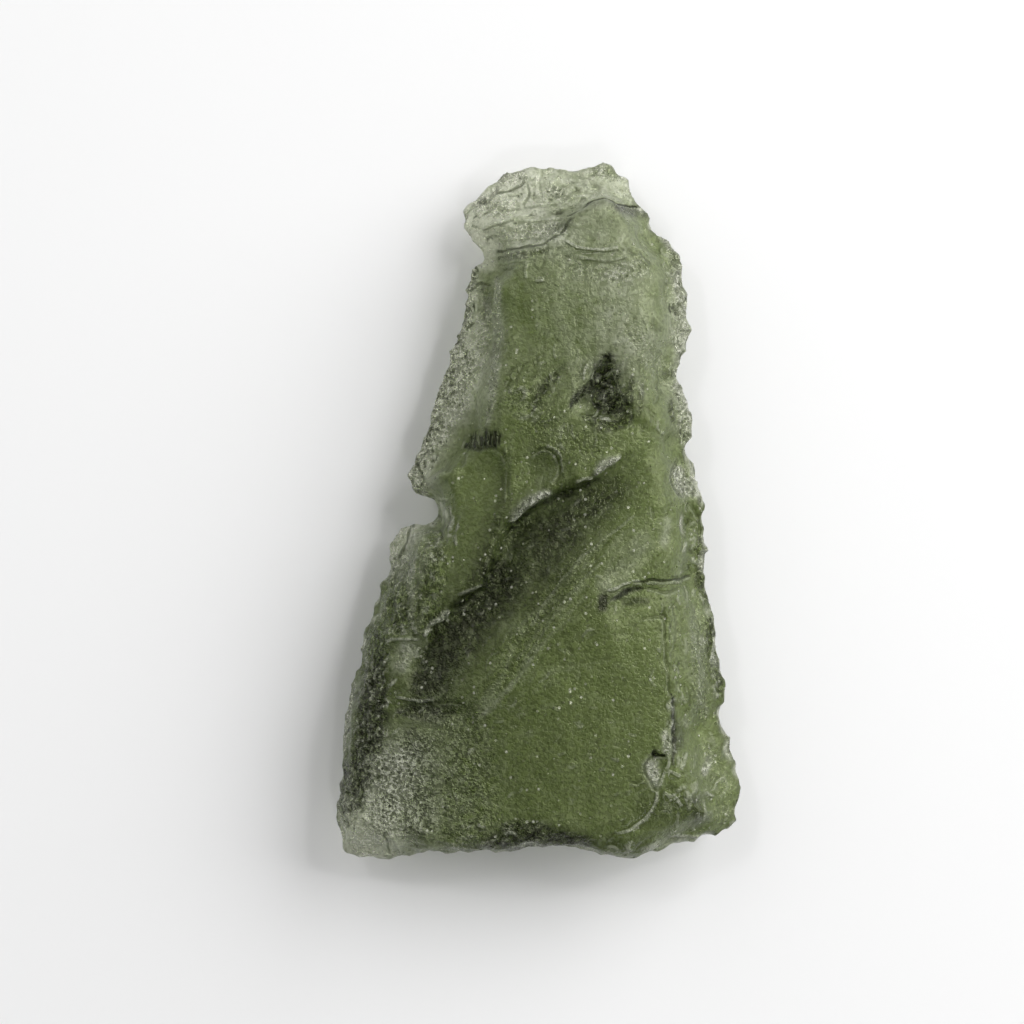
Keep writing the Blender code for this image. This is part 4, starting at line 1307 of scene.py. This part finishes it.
BASE_MARKS = [
    shade("dark middle", [(-2.4, -16.3), (0.0, -16.2), (2.2, -16.3)], 0.75, 0.75, grit=0.7),
    shade("brow", [(-1.8, -15.6), (-0.6, -15.4), (0.5, -15.7)], 0.3, 0.4, grit=0.8),
    shade("left shade", [(-4.6, -16.7), (-2.4, -16.6)], 0.3, 0.4),
    shade("right shade", [(2.4, -16.5), (5.6, -16.6)], 0.5, 0.4),
    shade("under the leaf", [(5.4, -14.6), (7.6, -14.6)], 0.8, 0.42, grit=0.5),
    shade("right dark", [(7.7, -14.3), (7.9, -15.4)], 0.3, 0.4),
    frost("corner, pale bulge", [(8.5, -12.0), (9.2, -13.6), (9.1, -15.2)], 0.8, 0.04, grit=0.5),
    shade("corner, rim", [(9.2, -10.6), (9.7, -12.4), (9.9, -14.2), (9.5, -15.7)], 0.5, 0.3),
    frost("corner, upper glints", [(8.5, -12.4), (8.3, -13.0)], 0.2, 0.3, grit=1.0),
    frost("corner, foot", [(5.2, -16.7), (6.8, -16.4), (8.4, -16.2)], 0.25, 0.3),
    ridge("leaf", [(5.5, -12.5), (5.75, -13.3)], 0.26, 0.7, grit=1.0),
    groove("leaf, outline left", [(5.5, -12.1), (5.2, -12.6), (5.4, -13.2), (5.75, -13.7)], 0.05,
           0.6, -0.06),
    ridge("leaf, outline right", [(6.35, -11.9), (6.3, -12.6), (5.95, -13.5)], 0.05, 0.7),
    groove("leaf, dark hole", [(5.65, -11.9), (5.75, -12.1)], 0.13, 1.0, -0.14),
    groove("leaf, dark bar", [(5.7, -12.05), (6.2, -12.0)], 0.08, 1.0, -0.08),
    ridge("leaf, stem", [(5.8, -13.8), (5.65, -14.4), (5.3, -15.0), (4.7, -15.5), (3.9, -15.85)],
          0.05, 0.75, 0.06),
    groove("leaf, stem shade", [(5.95, -13.9), (5.85, -14.5), (5.5, -15.1), (4.9, -15.65)], 0.07,
           0.4),
    ridge("glint, right of the leaf", [(6.65, -14.0), (6.95, -14.5)], 0.07, 1.0, 0.06),
    ridge("glint, upper", [(6.4, -12.8), (6.9, -12.95)], 0.08, 0.6),
    ridge("glint, small", [(6.2, -13.9), (6.4, -14.1)], 0.06, 0.6, 0.04),
    ridge("foot line", [(6.6, -16.1), (7.2, -16.02), (7.9, -16.2)], 0.06, 0.85),
    groove("foot line, shade", [(6.5, -16.3), (7.2, -16.2), (7.9, -16.4)], 0.06, 0.3, -0.04),
    ridge("corner seam", [(8.15, -14.4), (8.2, -15.3)], 0.05, 0.5, 0.04),
    ridge("corner nick", [(8.2, -14.0), (8.6, -14.15)], 0.06, 0.7, 0.04),
]

# The strokes above the left scoop: the x of each, and the y of its foot and its head.
LASH_WIDTH, LASH_LEAN = 0.08, 0.05
LASHES = [
    (-3.62, 3.1, 3.35), (-3.38, 3.05, 3.7), (-3.12, 3.1, 3.85), (-2.86, 3.0, 3.6),
    (-2.66, 3.1, 3.9), (-2.42, 3.2, 3.75), (-2.2, 3.1, 3.85), (-1.98, 3.2, 3.6),
]

REGIONS = [
    FLOW_MARKS, TIP_MARKS, UPPER_MARKS, FLUTE_MARKS, RIGHT_MARKS, LOWER_LEFT_MARKS, BASE_MARKS,
]


def lashes() -> list[Mark]:
    """Draws the row of short dark strokes above the left scoop.

    Returns:
        One groove for each stroke.
    """
    return [
        groove(f"lash {number}", [(left, low), (left + LASH_LEAN, high)], LASH_WIDTH, 1.0)
        for number, (left, low, high) in enumerate(LASHES)
    ]


def main() -> None:
    """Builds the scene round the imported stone."""
    logging.basicConfig(level=logging.INFO, format="%(message)s")
    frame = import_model()
    marks = [mark for region in REGIONS for mark in region] + lashes()
    marks += [mark for patch in SCRATCHES for mark in patch.marks()]
    piece = Stone().build(frame["nodes"][CAD_NODE], ImpactGlass(), marks, FLOW_STREAKS)
    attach(piece, "root")
    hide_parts(CAD_NODE)
    LOG.info("%s: %d marks on %d faces", piece.name, len(marks), len(piece.data.polygons))
    Studio().build()


if __name__ == "__main__":
    main()
